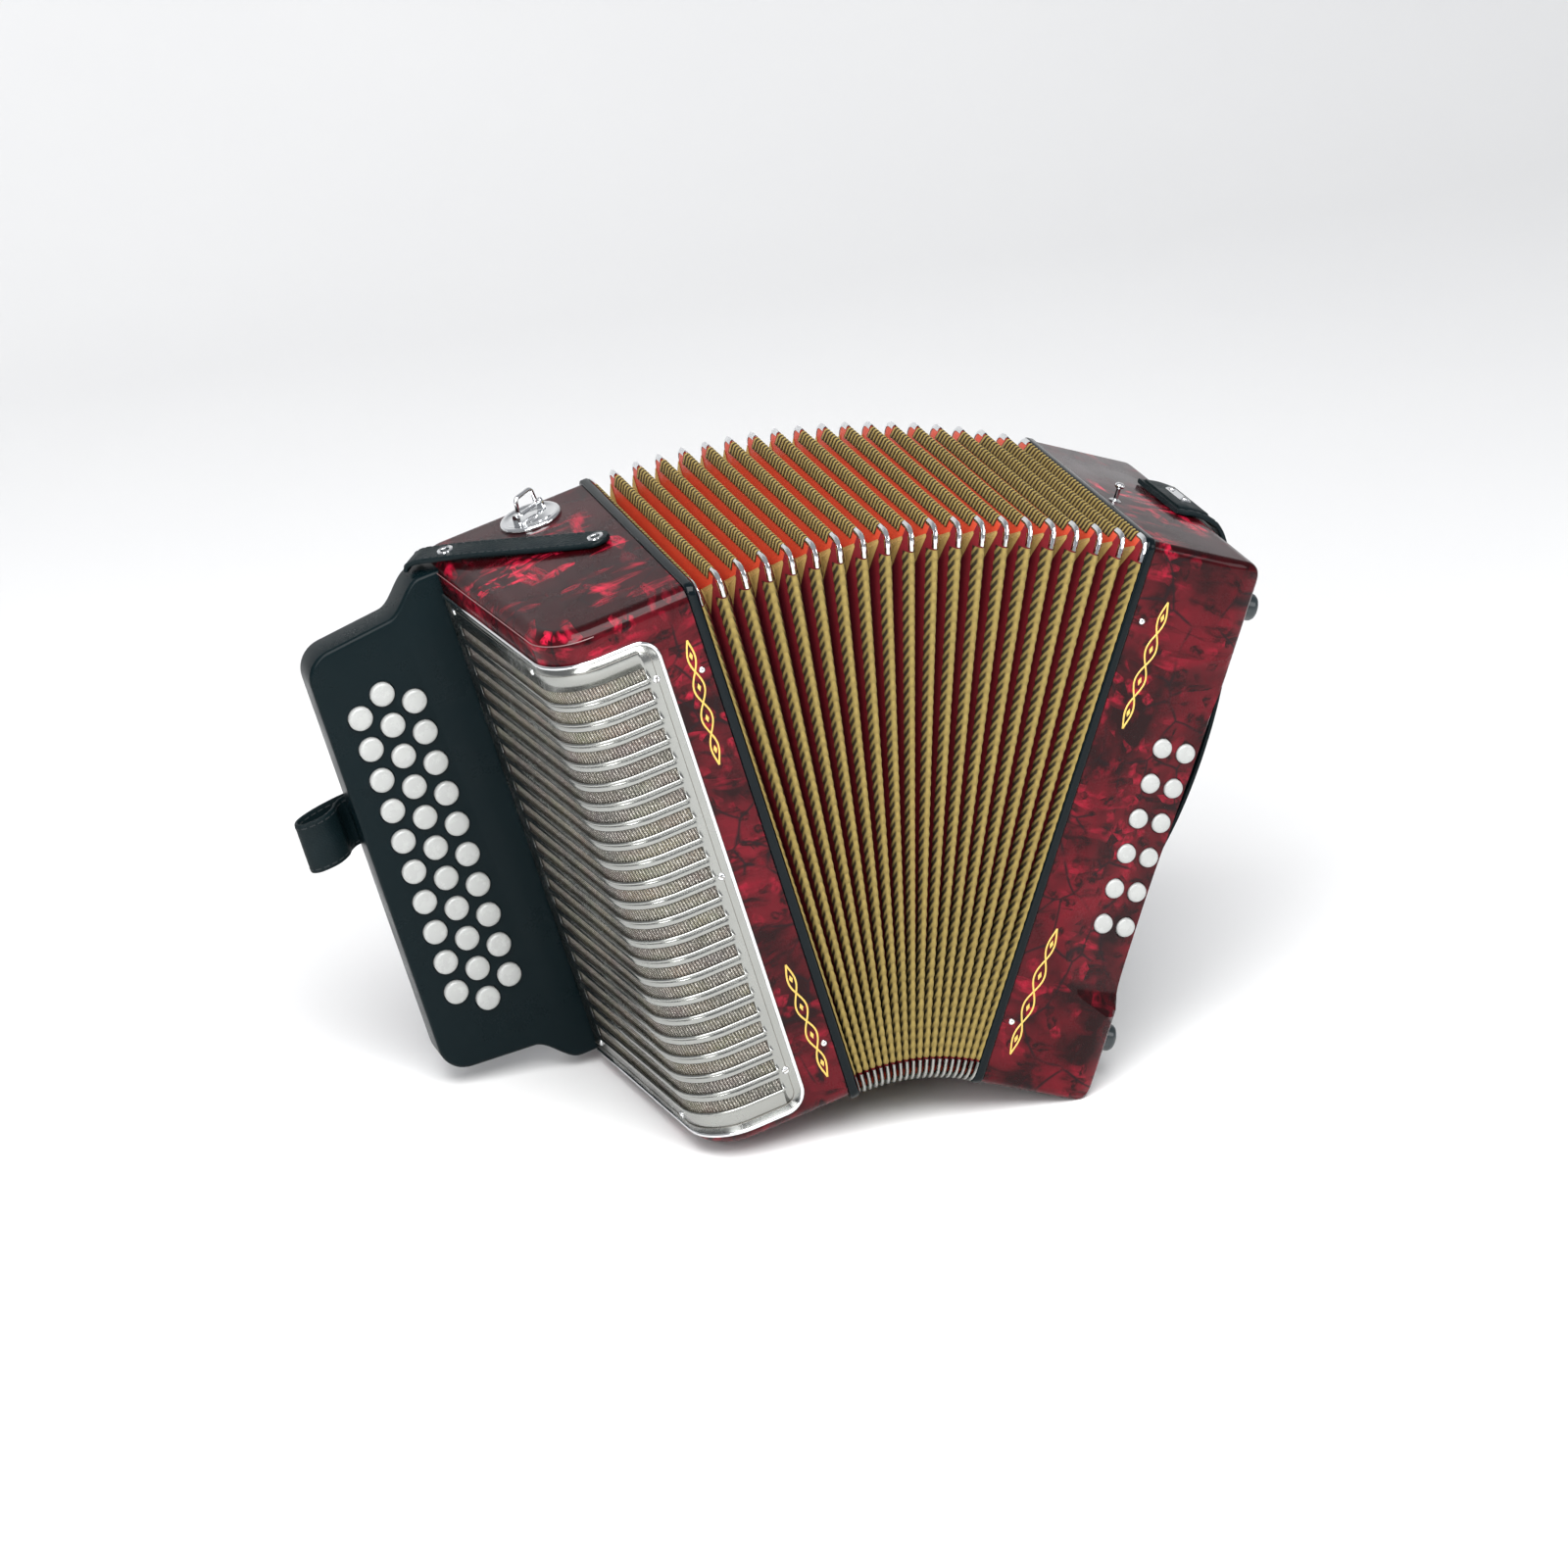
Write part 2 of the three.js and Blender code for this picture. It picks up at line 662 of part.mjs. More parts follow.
function strapPost() {
  const head = 2.6;
  const profile = [
    [0, 0],
    [head, 1.2],
    [head, 2.6],
    [1.2, 3.2],
    [1.2, POST_HEIGHT],
    [0, POST_HEIGHT],
  ];
  const [x, y] = POST_PLACE;
  return turned(profile, 10).rotateX(-Math.PI / 2).translate(x, y, HEIGHT + GAP + POST_HEIGHT);
}

// The air valve's button, drawn with its face at x = 0 and its stem running in.
function airButton() {
  const rim = 1.5;
  const length = AIR_BUTTON_PROUD + COVER_THICK + 4;
  const profile = [
    [0, 0],
    [AIR_BUTTON_RADIUS - rim, 0],
    [AIR_BUTTON_RADIUS, rim],
    [AIR_BUTTON_RADIUS, length],
    [0, length],
  ];
  return turned(profile, 12).rotateZ(Math.PI / 2);
}

// ---------------------------------------------------------------- assembly
const instrument = new THREE.Group();

const treble = new THREE.Group();
treble.rotation.y = -rad(TREBLE_LEAN);
instrument.add(treble);

const bass = new THREE.Group();
const bassTurn = rad(FAN_ANGLE);
bass.rotation.y = bassTurn;
bass.position.set(
  pivot.x + pivot.x * Math.cos(bassTurn) - pivot.y * Math.sin(bassTurn),
  0,
  pivot.y - pivot.x * Math.sin(bassTurn) - pivot.y * Math.cos(bassTurn),
);
treble.add(bass);

piece(treble, "treble_casing", trebleCasing(), RED_PEARL);
piece(treble, "fingerboard", fingerboard(), BLACK_LACQUER);
piece(treble, "melody_grille", melodyGrille(), NICKEL);
piece(treble, "treble_bellows_frame", bellowsFrame(GAP), BLACK_LACQUER);
const trebleReeds = reedBlock(-TREBLE_REED_CHAMBER + GAP, -8, 60, 110, 30, 280);
piece(treble, "treble_reed_block", trebleReeds, WOOD);
piece(treble, "thumb_strap", thumbStrap(), LEATHER);
piece(treble, "closing_strap", closingStrap(), LEATHER);
piece(treble, "strap_bracket", strapBracket(), CHROME);
piece(treble, "strap_ring", strapRing(), CHROME);
piece(treble, "bellows", bellows(), PLEATED_CARD);

melodyPlaces().forEach(([x, z], i) => {
  const name = `melody_button_${String(i + 1).padStart(2, "0")}`;
  const geometry = button(MELODY_RADIUS, MELODY_LENGTH);
  piece(treble, name, geometry, PEARL_WHITE).position.set(x, BOARD_FRONT - MELODY_PROUD, z);
});

piece(bass, "bass_bellows_frame", bellowsFrame(-FRAME_THICK), BLACK_LACQUER);
piece(bass, "bass_casing", bassCasing(), RED_PEARL);
piece(bass, "bass_end_cover", endCover(), COVER_BLACK);
const bassReeds = reedBlock(BASS_REED_CHAMBER - GAP, 6, 60, 140, 40, 270);
piece(bass, "bass_reed_block", bassReeds, WOOD);
piece(bass, "hand_strap", handStrap(), LEATHER);
piece(bass, "strap_post", strapPost(), CHROME);

const airOut = BASS_WIDTH + AIR_BUTTON_PROUD;
piece(bass, "air_button", airButton(), CHROME).position.set(airOut, ...AIR_BUTTON_PLACE);

bassPlaces().forEach(([x, z], i) => {
  const name = `bass_button_${String(i + 1).padStart(2, "0")}`;
  const face = recessFloor(x, z) - BASS_PROUD;
  const geometry = button(BASS_RADIUS, BASS_BUTTON_END - face);
  piece(bass, name, geometry, PEARL_WHITE).position.set(x, face, z);
});

const box = new THREE.Box3().setFromObject(instrument, true);
instrument.position.set(-(box.min.x + box.max.x) / 2, -(box.min.y + box.max.y) / 2, -box.min.z);

export default instrument;
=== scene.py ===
"""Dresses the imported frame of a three-row button accordion."""

import json
import math

import bmesh
import bpy
import numpy as np
from mathutils import Matrix, Vector


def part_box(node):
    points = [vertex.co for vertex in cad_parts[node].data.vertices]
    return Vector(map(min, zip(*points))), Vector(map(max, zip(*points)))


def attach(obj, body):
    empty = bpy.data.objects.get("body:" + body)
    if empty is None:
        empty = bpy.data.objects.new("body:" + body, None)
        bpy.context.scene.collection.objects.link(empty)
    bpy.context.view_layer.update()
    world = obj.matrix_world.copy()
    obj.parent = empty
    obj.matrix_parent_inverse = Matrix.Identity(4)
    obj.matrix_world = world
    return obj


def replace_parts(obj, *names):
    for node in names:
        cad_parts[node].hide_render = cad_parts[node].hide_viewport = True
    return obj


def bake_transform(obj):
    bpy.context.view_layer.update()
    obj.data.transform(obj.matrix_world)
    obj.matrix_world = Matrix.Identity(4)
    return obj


bl_info = {
    "name": "Button accordion",
    "version": (1, 0, 0),
    "blender": (4, 5, 0),
    "location": "3D View > Sidebar > Accordion",
    "description": "Builds the visible pieces of a three-row button accordion around its frame",
    "category": "Add Mesh",
}

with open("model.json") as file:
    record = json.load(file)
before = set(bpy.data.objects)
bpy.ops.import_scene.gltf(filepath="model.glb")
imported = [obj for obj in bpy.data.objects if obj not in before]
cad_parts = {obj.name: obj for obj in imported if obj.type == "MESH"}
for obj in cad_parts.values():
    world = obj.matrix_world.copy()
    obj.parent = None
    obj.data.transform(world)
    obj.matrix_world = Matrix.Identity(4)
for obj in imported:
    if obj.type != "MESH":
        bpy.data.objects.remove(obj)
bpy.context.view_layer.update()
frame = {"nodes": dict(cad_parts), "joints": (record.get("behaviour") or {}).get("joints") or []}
MM = 0.001

# ---------------------------------------------------------------- sizes, in millimetres
HEIGHT = 310.0
DEPTH = 193.0
PIVOT_X = 37.5  # the fan's pivot, from either casing's bellows side
PIVOT_DROP = 4.0  # and below its lower edge
FOLDS = 19
FOLD_DEPTH = 15.0
TAPE_SLANT = 0.22  # of the ribs on the front tapes, in ribs per millimetre
FRAME_THICK = 5.5
FRAME_PROUD = 1.2
SKIN_GAP = 0.3  # what lies on a casing, or beside a bellows frame, stands this far off it
TREBLE_FRONT = 79.3  # the melody casing's width in front and behind
TREBLE_BACK = 97.0
TREBLE_CORNER = 28.0
TREBLE_EDGE = 8.5
LID_SEAM_Z = 304.8
BACK_CORNER = 14.0
BASS_WIDTH = 66.0
BASS_CORNER = 10.0
BASS_FRONT_EDGE = 5.0
COVER_EDGE = 11.0
GRILLE_LOW, GRILLE_HIGH = 8.0, 293.0
GRILLE_EDGE_X = -23.0
GRILLE_CORNER = 12.0
SLOTS = 22
SLOT_PITCH = 11.864
SLOT_FIRST_Z = 25.5
SLOT_END_X = -33.5
SLOT_END_Y = 143.0
GRILLE_LIFT = 1.1
GROOVE_INSET = 5.2
CLOTH_LIFT = 0.3
CLOTH_MARGIN = 8.0
BOARD_FRONT = 159.0
BOARD_THICK = 25.0
BOARD_CENTRE_Z = 157.0
WELL_DEPTH_MELODY = 15.0
WELL_DEPTH_BASS = 28.0
CLOSING_STRAP_WIDTH = 17.0
CLOSING_STRAP_TURN = math.radians(-40.5)
THUMB_STRAP_WIDTH = 30.0
THUMB_STRAP_Z = 180.0
HAND_STRAP_FRONT, HAND_STRAP_WIDTH = 80.0, 60.0
BRACKET_CENTRE = (-35.0, 168.0)
RING_TURN = math.radians(32)
LUG_SPACING = 9.9
RING_PIVOT_RISE = 5.4
STITCH, STITCH_GAP, STITCH_RADIUS = 3.2, 1.6, 0.38

MELODY_BUTTONS = [n for n in sorted(frame["nodes"]) if n.startswith("melody_button")]
BASS_BUTTONS = [n for n in sorted(frame["nodes"]) if n.startswith("bass_button")]
FAN = next(j for j in frame["joints"] if j["name"] == "bellows_fan")


def middle(node):
    """The middle of a node's box, in metres."""
    low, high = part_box(node)
    return (low + high) / 2


def half_frame(lower, upper, pivot_x):
    """The matrix of one half: X across it, Y back and Z up along it.

    Its origin is the half's lower front edge, on the bellows side.
    """
    up = middle(upper) - middle(lower)
    up.y = 0
    up.normalize()
    across = Vector((up.z, 0, -up.x))
    origin = Vector(FAN["pos_m"]) - across * pivot_x * MM + up * PIVOT_DROP * MM
    columns = (across, Vector((0, 1, 0)), up)
    turn = Matrix(columns).transposed().to_4x4()
    return Matrix.Translation(origin) @ turn


TREBLE = half_frame("melody_button_10", "melody_button_01", PIVOT_X)
BASS = half_frame("bass_button_06", "bass_button_01", -PIVOT_X)
LEAN_TREBLE = math.atan2(-TREBLE[0][2], TREBLE[2][2])
LEAN_BASS = math.atan2(BASS[0][2], BASS[2][2])
FAN_ANGLE = LEAN_TREBLE + LEAN_BASS


# ---------------------------------------------------------------- mesh helpers
def piece(name, points, faces, home, material, body=None, smooth=40, uvs=None):
    """One mesh object from points in millimetres in a half's own frame."""
    mesh = bpy.data.meshes.new(name)
    mesh.from_pydata([tuple(p) for p in np.asarray(points, float) * MM], [], [tuple(f) for f in faces])
    mesh.validate()
    thing = bpy.data.objects.new(name, mesh)
    bpy.context.scene.collection.objects.link(thing)
    thing.matrix_world = home
    for one in material if isinstance(material, (list, tuple)) else [material]:
        mesh.materials.append(one)
    mesh.polygons.foreach_set("use_smooth", [True] * len(mesh.polygons))
    if smooth:
        mesh.set_sharp_from_angle(angle=math.radians(smooth))
    if uvs is not None:
        layer = mesh.uv_layers.new(name="cloth")
        corner = np.empty(len(mesh.loops), int)
        mesh.loops.foreach_get("vertex_index", corner)
        layer.data.foreach_set("uv", np.asarray(uvs, float)[corner].ravel())
    if body:
        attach(thing, body)
    return thing


def outward(thing):
    """Turns the faces of a closed mesh outwards."""
    made = bmesh.new()
    made.from_mesh(thing.data)
    bmesh.ops.recalc_face_normals(made, faces=made.faces)
    made.to_mesh(thing.data)
    made.free()
    return thing


def rounded(corners, steps=8):
    """An outline whose (x, y, radius) corners are arcs."""
    outline = []
    count = len(corners)
    for i, corner in enumerate(corners):
        place = Vector(corner[:2])
        radius = corner[2] if len(corner) > 2 else 0
        if radius <= 0:
            outline.append(tuple(place))
            continue
        before = (Vector(corners[i - 1][:2]) - place).normalized()
        after = (Vector(corners[(i + 1) % count][:2]) - place).normalized()
        half = before.angle(after) / 2
        centre = place + (before + after).normalized() * radius / math.sin(half)
        start = place + before * radius / math.tan(half) - centre
        sweep = math.pi - 2 * half
        turn = math.copysign(1, before.x * after.y - before.y * after.x)
        for k in range(steps + 1):
            arm = Matrix.Rotation(-turn * sweep * k / steps, 2) @ start
            outline.append(tuple(centre + arm))
    return outline


def grid_faces(rows, columns, around=False, keep=None):
    """Quads of a grid of rows by columns; around joins the last column to the first."""
    faces = []
    last = columns if around else columns - 1
    for r in range(rows - 1):
        for c in range(last):
            if keep is not None and not keep(r, c):
                continue
            d = (c + 1) % columns
            faces.append((r * columns + c, r * columns + d, (r + 1) * columns + d, (r + 1) * columns + c))
    return faces


def loft(rings):
    """Points and faces of a closed skin over rings of equal point count."""
    count = len(rings[0])
    points = [p for ring in rings for p in ring]
    faces = grid_faces(len(rings), count, around=True)
    faces.append(tuple(reversed(range(count))))
    faces.append(tuple(range((len(rings) - 1) * count, len(rings) * count)))
    return points, faces


def loop_skin(rings):
    """Points and faces of a skin over rings, whose last ring joins its first."""
    count = len(rings[0])
    points = [p for ring in rings for p in ring]
    faces = grid_faces(len(rings), count, around=True)
    start = (len(rings) - 1) * count
    faces += [(start + k, start + (k + 1) % count, (k + 1) % count, k) for k in range(count)]
    return points, faces


def lathe(profile, centre, axis, sides=40):
    """A turned solid about an axis through centre, from (radius, height) pairs."""
    axis = Vector(axis).normalized()
    side = axis.orthogonal().normalized()
    other = axis.cross(side)
    rings = []
    for radius, height in profile:
        ring = []
        for k in range(sides):
            a = 2 * math.pi * k / sides
            arm = (side * math.cos(a) + other * math.sin(a)) * max(radius, 0.01)
            ring.append(Vector(centre) + axis * height + arm)
        rings.append(ring)
    return loft(rings)


def turned(name, shape, home, finish, body, smooth=40):
    """A piece from a lathe's points and faces, with its faces outwards."""
    return outward(piece(name, *shape, home, FINISH[finish], body, smooth))


def tube(line, radius, sides=10, closed=False, flat=1.0, lift=(0.01, 0.02, 1)):
    """A round wire along a line of points, or one flattened along lift."""
    line = [Vector(p) for p in line]
    count = len(line)
    lift = Vector(lift)
    angles = [2 * math.pi * k / sides for k in range(sides)]
    rings = []
    for i, spot in enumerate(line):
        if closed:
            along = line[(i + 1) % count] - line[i - 1]
        else:
            along = line[min(i + 1, count - 1)] - line[max(i - 1, 0)]
        along.normalize()
        lift = (lift - along * lift.dot(along)).normalized()
        wide = along.cross(lift) * radius
        tall = lift * radius * flat
        rings.append([spot + wide * math.cos(a) + tall * math.sin(a) for a in angles])
    return loop_skin(rings) if closed else loft(rings)


def band(line, across, width, thick, crown=0.0, rounded_end=False):
    """A strap of even thickness along a line, with rounded edges; across is its flat direction."""
    line = [Vector(p) for p in line]
    across = Vector(across).normalized()
    half = width / 2
    edge = thick * 0.42
    section = []
    for side in (1, -1):
        for k in range(5):
            a = math.pi / 2 * (1 - k / 2)
            section.append((side * (half - edge + edge * math.cos(a)), side * thick / 2 * math.sin(a)))
        for k in range(1, 6):
            share = k / 6
            section.append((side * (half - edge) * (1 - 2 * share), -side * thick / 2))
    rings = []
    for i, spot in enumerate(line):
        along = line[min(i + 1, len(line) - 1)] - line[max(i - 1, 0)]
        normal = along.cross(across).normalized()
        left = (line[-1] - spot).length / half
        share = max(math.sqrt(1 - (1 - left) ** 2), 0.25) if rounded_end and left < 1 else 1
        ring = []
        for u, v in section:
            rise = v + crown * (1 - (u / half) ** 2)
            ring.append(spot + across * u * share + normal * rise)
        rings.append(ring)
    return loft(rings)


def stitches(line, across, offset, lift):
    """A row of thread stitches along a line, set off sideways and lifted to the strap's face."""
    line = [Vector(p) for p in line]
    across = Vector(across).normalized()
    spots = []
    for i, spot in enumerate(line):
        along = line[min(i + 1, len(line) - 1)] - line[max(i - 1, 0)]
        spots.append(spot + across * offset + along.cross(across).normalized() * lift)
    run = [0.0]
    for a, b in zip(spots, spots[1:]):
        run.append(run[-1] + (b - a).length)
    table = np.array([tuple(p) for p in spots])

    def at(distance):
        return Vector([np.interp(distance, run, table[:, k]) for k in range(3)])

    parts = []
    start = STITCH_GAP
    while start + STITCH < run[-1]:
        ends = [at(start), at(start + STITCH / 2), at(start + STITCH)]
        parts.append(tube(ends, STITCH_RADIUS, 6))
        start += STITCH + STITCH_GAP
    return merge(parts)


def merge(parts):
    """Several (points, faces) as one."""
    points = []
    faces = []
    for some_points, some_faces in parts:
        shift = len(points)
        points.extend(some_points)
        faces.extend(tuple(i + shift for i in face) for face in some_faces)
    return points, faces


def drill(thing, cutter_parts, home):
    """Cuts the closed cutters out of a closed piece."""
    cutter = outward(piece("cutter", *merge(cutter_parts), home, []))
    cut = thing.modifiers.new("cut", "BOOLEAN")
    cut.object = cutter
    cut.solver = "EXACT"
    bpy.context.view_layer.update()
    graph = bpy.context.evaluated_depsgraph_get()
    fresh = bpy.data.meshes.new_from_object(thing.evaluated_get(graph), depsgraph=graph)
    thing.modifiers.clear()
    old = thing.data
    thing.data = fresh
    bpy.data.meshes.remove(old)
    bpy.data.objects.remove(cutter)
    thing.data.set_sharp_from_angle(angle=math.radians(35))


def soften(thing):
    """A small round on every hard edge."""
    bevel = thing.modifiers.new("soft_edges", "BEVEL")
    bevel.width = 0.4 * MM
    bevel.segments = 3
    bevel.limit_method = "ANGLE"
    bevel.angle_limit = math.radians(35)
    return thing


def wells(names, home, front, gap, depth):
    """Cutters for the round hole of each button in a list, from a depth in front of the face."""
    into_home = home.inverted()
    cutters = []
    for name in names:
        low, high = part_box(name)
        centre = into_home @ ((low + high) / 2) / MM
        radius = (high.x - low.x) / 2 / MM + gap
        profile = [(0, 0), (radius, 0), (radius, depth), (0, depth)]
        cutters.append(lathe(profile, (centre.x, front, centre.z), (0, 1, 0), 32))
    return cutters


def smooth_line(points, steps):
    """Points evenly spaced in number along a smooth line through the given ones."""
    given = [np.asarray(p, float) for p in points]
    padded = [2 * given[0] - given[1], *given, 2 * given[-1] - given[-2]]
    line = []
    pieces = len(given) - 1
    for k in range(steps + 1):
        t = pieces * k / steps
        i = min(int(t), pieces - 1)
        t -= i
        a, b, c, d = padded[i : i + 4]
        cubic = 2 * b + (c - a) * t + (2 * a - 5 * b + 4 * c - d) * t**2 + (3 * b - a - 3 * c + d) * t**3
        line.append(cubic / 2)
    return line


# ---------------------------------------------------------------- shader helpers
def node(tree, kind, inputs=None, **settings):
    """One shader node; an input that is a socket is linked, anything else is set."""
    made = tree.nodes.new("ShaderNode" + kind)
    for name, value in settings.items():
        setattr(made, name, value)
    for name, value in (inputs or {}).items():
        if isinstance(value, bpy.types.NodeSocket):
            tree.links.new(value, made.inputs[name])
        else:
            made.inputs[name].default_value = value
    return made


def maths(tree, operation, a, b=0.0, c=0.0):
    return node(tree, "Math", {0: a, 1: b, 2: c}, operation=operation).outputs[0]


def ranged(tree, value, low, high):
    """0 at low and 1 at high, straight between and level beyond."""
    return node(tree, "MapRange", {"Value": value, "From Min": low, "From Max": high}).outputs[0]


def separate(tree, vector):
    return node(tree, "SeparateXYZ", {0: vector}).outputs


def cloth_map(tree):
    """The U and V of a piece's own cloth map."""
    return separate(tree, node(tree, "UVMap", uv_map="cloth").outputs[0])


def ramp(tree, factor, stops):
    """A colour ramp; a stop is (place, grey or colour)."""
    made = node(tree, "ValToRGB", {"Fac": factor})
    band = made.color_ramp
    while len(band.elements) < len(stops):
        band.elements.new(0.5)
    for element, (place, value) in zip(band.elements, stops):
        element.position = place
        element.color = (*([value] * 3 if isinstance(value, (int, float)) else value), 1)
    return made.outputs["Color"]


def blended(tree, factor, a, b, how="MIX"):
    made = node(tree, "Mix", data_type="RGBA", blend_type=how)
    for socket, value in ((0, factor), (6, a), (7, b)):
        if isinstance(value, bpy.types.NodeSocket):
            tree.links.new(value, made.inputs[socket])
        else:
            made.inputs[socket].default_value = value if socket == 0 else (*value, 1)
    return made.outputs[2]


def place(tree, stretch=(1, 1, 1)):
    """The piece's own coordinates, stretched."""
    own = node(tree, "TexCoord").outputs["Object"]
    return node(tree, "Mapping", {"Vector": own, "Scale": stretch}).outputs[0]


def noise(tree, vector, scale, detail=3.0, output="Fac"):
    return node(tree, "TexNoise", {"Vector": vector, "Scale": scale, "Detail": detail}).outputs[output]


def effect(name, inputs, outputs):
    """A node group with named inputs and outputs, its input node and its output node."""
    tree = bpy.data.node_groups.new(name, "ShaderNodeTree")
    for label, kind, default in inputs:
        socket = tree.interface.new_socket(name=label, in_out="INPUT", socket_type="NodeSocket" + kind)
        socket.default_value = default
    for label, kind in outputs:
        tree.interface.new_socket(name=label, in_out="OUTPUT", socket_type="NodeSocket" + kind)
    return tree, tree.nodes.new("NodeGroupInput"), tree.nodes.new("NodeGroupOutput")


def smudge_effect():
    """Handled gloss: roughness that wanders between two values in soft patches, with fine wear."""
    tree, given, made = effect(
        "smudges",
        [("Low", "Float", 0.1), ("High", "Float", 0.3), ("Scale", "Float", 40.0)],
        [("Roughness", "Float")],
    )
    where = node(tree, "TexCoord").outputs["Object"]
    broad = noise(tree, where, given.outputs["Scale"])
    fine = noise(tree, where, 900.0)
    mixed = maths(tree, "MULTIPLY_ADD", fine, 0.3, maths(tree, "MULTIPLY", broad, 0.85))
    spread = node(
        tree,
        "MapRange",
        {
            "Value": mixed,
            "From Min": 0.38,
            "From Max": 0.75,
            "To Min": given.outputs["Low"],
            "To Max": given.outputs["High"],
        },
    )
    tree.links.new(spread.outputs[0], made.inputs["Roughness"])
    return tree


def grain_effect():
    """A pebbled grain as a height, for leather and crackled paint."""
    tree, given, made = effect("grain", [("Scale", "Float", 900.0)], [("Height", "Float")])
    where = node(tree, "TexCoord").outputs["Object"]
    pebbles = node(tree, "TexVoronoi", {"Vector": where, "Scale": given.outputs["Scale"]})
    soft = noise(tree, where, 350.0)
    height = maths(tree, "MULTIPLY_ADD", soft, 0.6, pebbles.outputs["Distance"])
    tree.links.new(height, made.inputs["Height"])
    return tree


def weave_effect():
    """A plain weave over a cloth map in millimetres: a height, and a mask of the threads on top."""
    tree, given, made = effect(
        "weave", [("Pitch", "Float", 1.0), ("Slant", "Float", 0.0)], [("Height", "Float"), ("Over", "Float")]
    )
    parts = cloth_map(tree)
    slanted = maths(tree, "MULTIPLY_ADD", parts[1], given.outputs["Slant"], parts[0])
    waves = []
    for run in (slanted, parts[1]):
        turns = maths(tree, "DIVIDE", run, given.outputs["Pitch"])
        waves.append(maths(tree, "SINE", maths(tree, "MULTIPLY", turns, 2 * math.pi)))
    both = maths(tree, "MULTIPLY", *waves)
    tree.links.new(maths(tree, "MULTIPLY_ADD", both, 0.5, 0.5), made.inputs["Height"])
    tree.links.new(ranged(tree, both, -0.4, 0.4), made.inputs["Over"])
    return tree


EFFECTS = {}


def use(tree, name, inputs):
    """A copy of a shared effect in a material; the effect is made when it is first asked for."""
    if name not in EFFECTS:
        makers = {"smudges": smudge_effect, "grain": grain_effect, "weave": weave_effect}
        EFFECTS[name] = makers[name]()
    made = tree.nodes.new("ShaderNodeGroup")
    made.node_tree = EFFECTS[name]
    for label, value in inputs.items():
        made.inputs[label].default_value = value
    return made.outputs


def finish_of(name, **sockets):
    """A material with one Principled shader; sockets are its plain values, by name with _ for a space."""
    material = bpy.data.materials.new(name)
    material.use_nodes = True
    tree = material.node_tree
    shader = tree.nodes["Principled BSDF"]
    for label, value in sockets.items():
        shader.inputs[label.replace("_", " ")].default_value = value
    return material, tree, shader


def bump(tree, shader, height, distance, strength=1.0):
    made = node(tree, "Bump", {"Height": height, "Distance": distance, "Strength": strength})
    tree.links.new(made.outputs[0], shader.inputs["Normal"])


def shade(colour, share):
    return tuple(c * share for c in colour)


def product(tree, *factors):
    total = factors[0]
    for factor in factors[1:]:
        total = maths(tree, "MULTIPLY", total, factor)
    return total


PEARL_FLAKES = (
    # turn, stretch, share of the cells that shine
    ((0.2, 0.1, 0.5), (42, 190, 190), 0.66),
    ((0.6, 0.9, -0.4), (170, 36, 150), 0.72),
)


def pearl_red(red):
    """Crimson pearl celluloid: bright flakes and dark cracks under a polished coat, with painted shade and a
    painted flake sheen on the lid.
    """
    coat = {"Coat_Weight": 0.28, "Coat_Roughness": 0.03, "Coat_IOR": 1.45}
    material, tree, shader = finish_of("red_pearl", Specular_IOR_Level=0.05, **coat)
    own = node(tree, "TexCoord").outputs["Object"]
    bend = noise(tree, own, 14.0, 2.0, "Color")
    small = {0: bend, 1: (0.03, 0.03, 0.03)}
    shift = node(tree, "VectorMath", small, operation="MULTIPLY").outputs[0]
    bent = node(tree, "VectorMath", {0: own, 1: shift}, operation="ADD").outputs[0]
    # Painted shade: the lid takes darker reds than the front of the same celluloid.
    top = ranged(tree, separate(tree, own)[2], 0.300, 0.3085)
    clouds = noise(tree, bent, 20.0, 5.0)
    steps = [(0.37, shade(red, 0.1)), (0.47, shade(red, 0.62)), (0.58, tuple(red)), (0.74, shade(red, 1.6))]
    front = ramp(tree, clouds, steps)
    lid = ramp(tree, clouds, [(0.38, shade(red, 0.12)), (0.6, shade(red, 0.26)), (0.8, shade(red, 0.55))])
    base = blended(tree, top, front, lid)
    for turn, stretch, low in PEARL_FLAKES:
        turned_to = {"Vector": bent, "Scale": stretch, "Rotation": turn}
        moved = node(tree, "Mapping", turned_to).outputs[0]
        cells = node(tree, "TexVoronoi", {"Vector": moved, "Scale": 1.0, "Randomness": 1.0})
        lot = node(tree, "SeparateColor", {0: cells.outputs["Color"]}).outputs[0]
        fade = ranged(tree, cells.outputs["Distance"], 0.72, 0.42)
        streaks = ramp(tree, noise(tree, moved, 2.4, 2.0), [(0.36, 0.15), (0.6, 1.0)])
        patch = ranged(tree, noise(tree, own, 15.0), 0.42, 0.6)
        shard = maths(tree, "MULTIPLY", fade, streaks)
        # Painted sheen: more of the bright flakes show on the lid than in front.
        flake_sheen_on_top = maths(tree, "MULTIPLY_ADD", top, 0.55, 0.4)
        bright = product(tree, ranged(tree, lot, low, low + 0.1), shard, patch, flake_sheen_on_top)
        base = blended(tree, bright, base, (0.52, 0.010, 0.040))
        dark = product(tree, ranged(tree, lot, 0.3, 0.18), shard, 0.95)
        base = blended(tree, dark, base, shade(red, 0.1))
    cells = {"Vector": bent, "Scale": 34.0}
    cracks = node(tree, "TexVoronoi", cells, feature="DISTANCE_TO_EDGE").outputs[0]
    line = ranged(tree, cracks, 0.04, 0.0)
    some = ranged(tree, noise(tree, own, 30.0), 0.42, 0.52)
    base = blended(tree, product(tree, line, some), base, (0.008, 0.002, 0.003))
    tree.links.new(base, shader.inputs["Base Color"])
    gloss = use(tree, "smudges", {"Low": 0.2, "High": 0.36, "Scale": 30.0})[0]
    tree.links.new(gloss, shader.inputs["Roughness"])
    bump(tree, shader, clouds, 0.0004, 0.12)
    return material


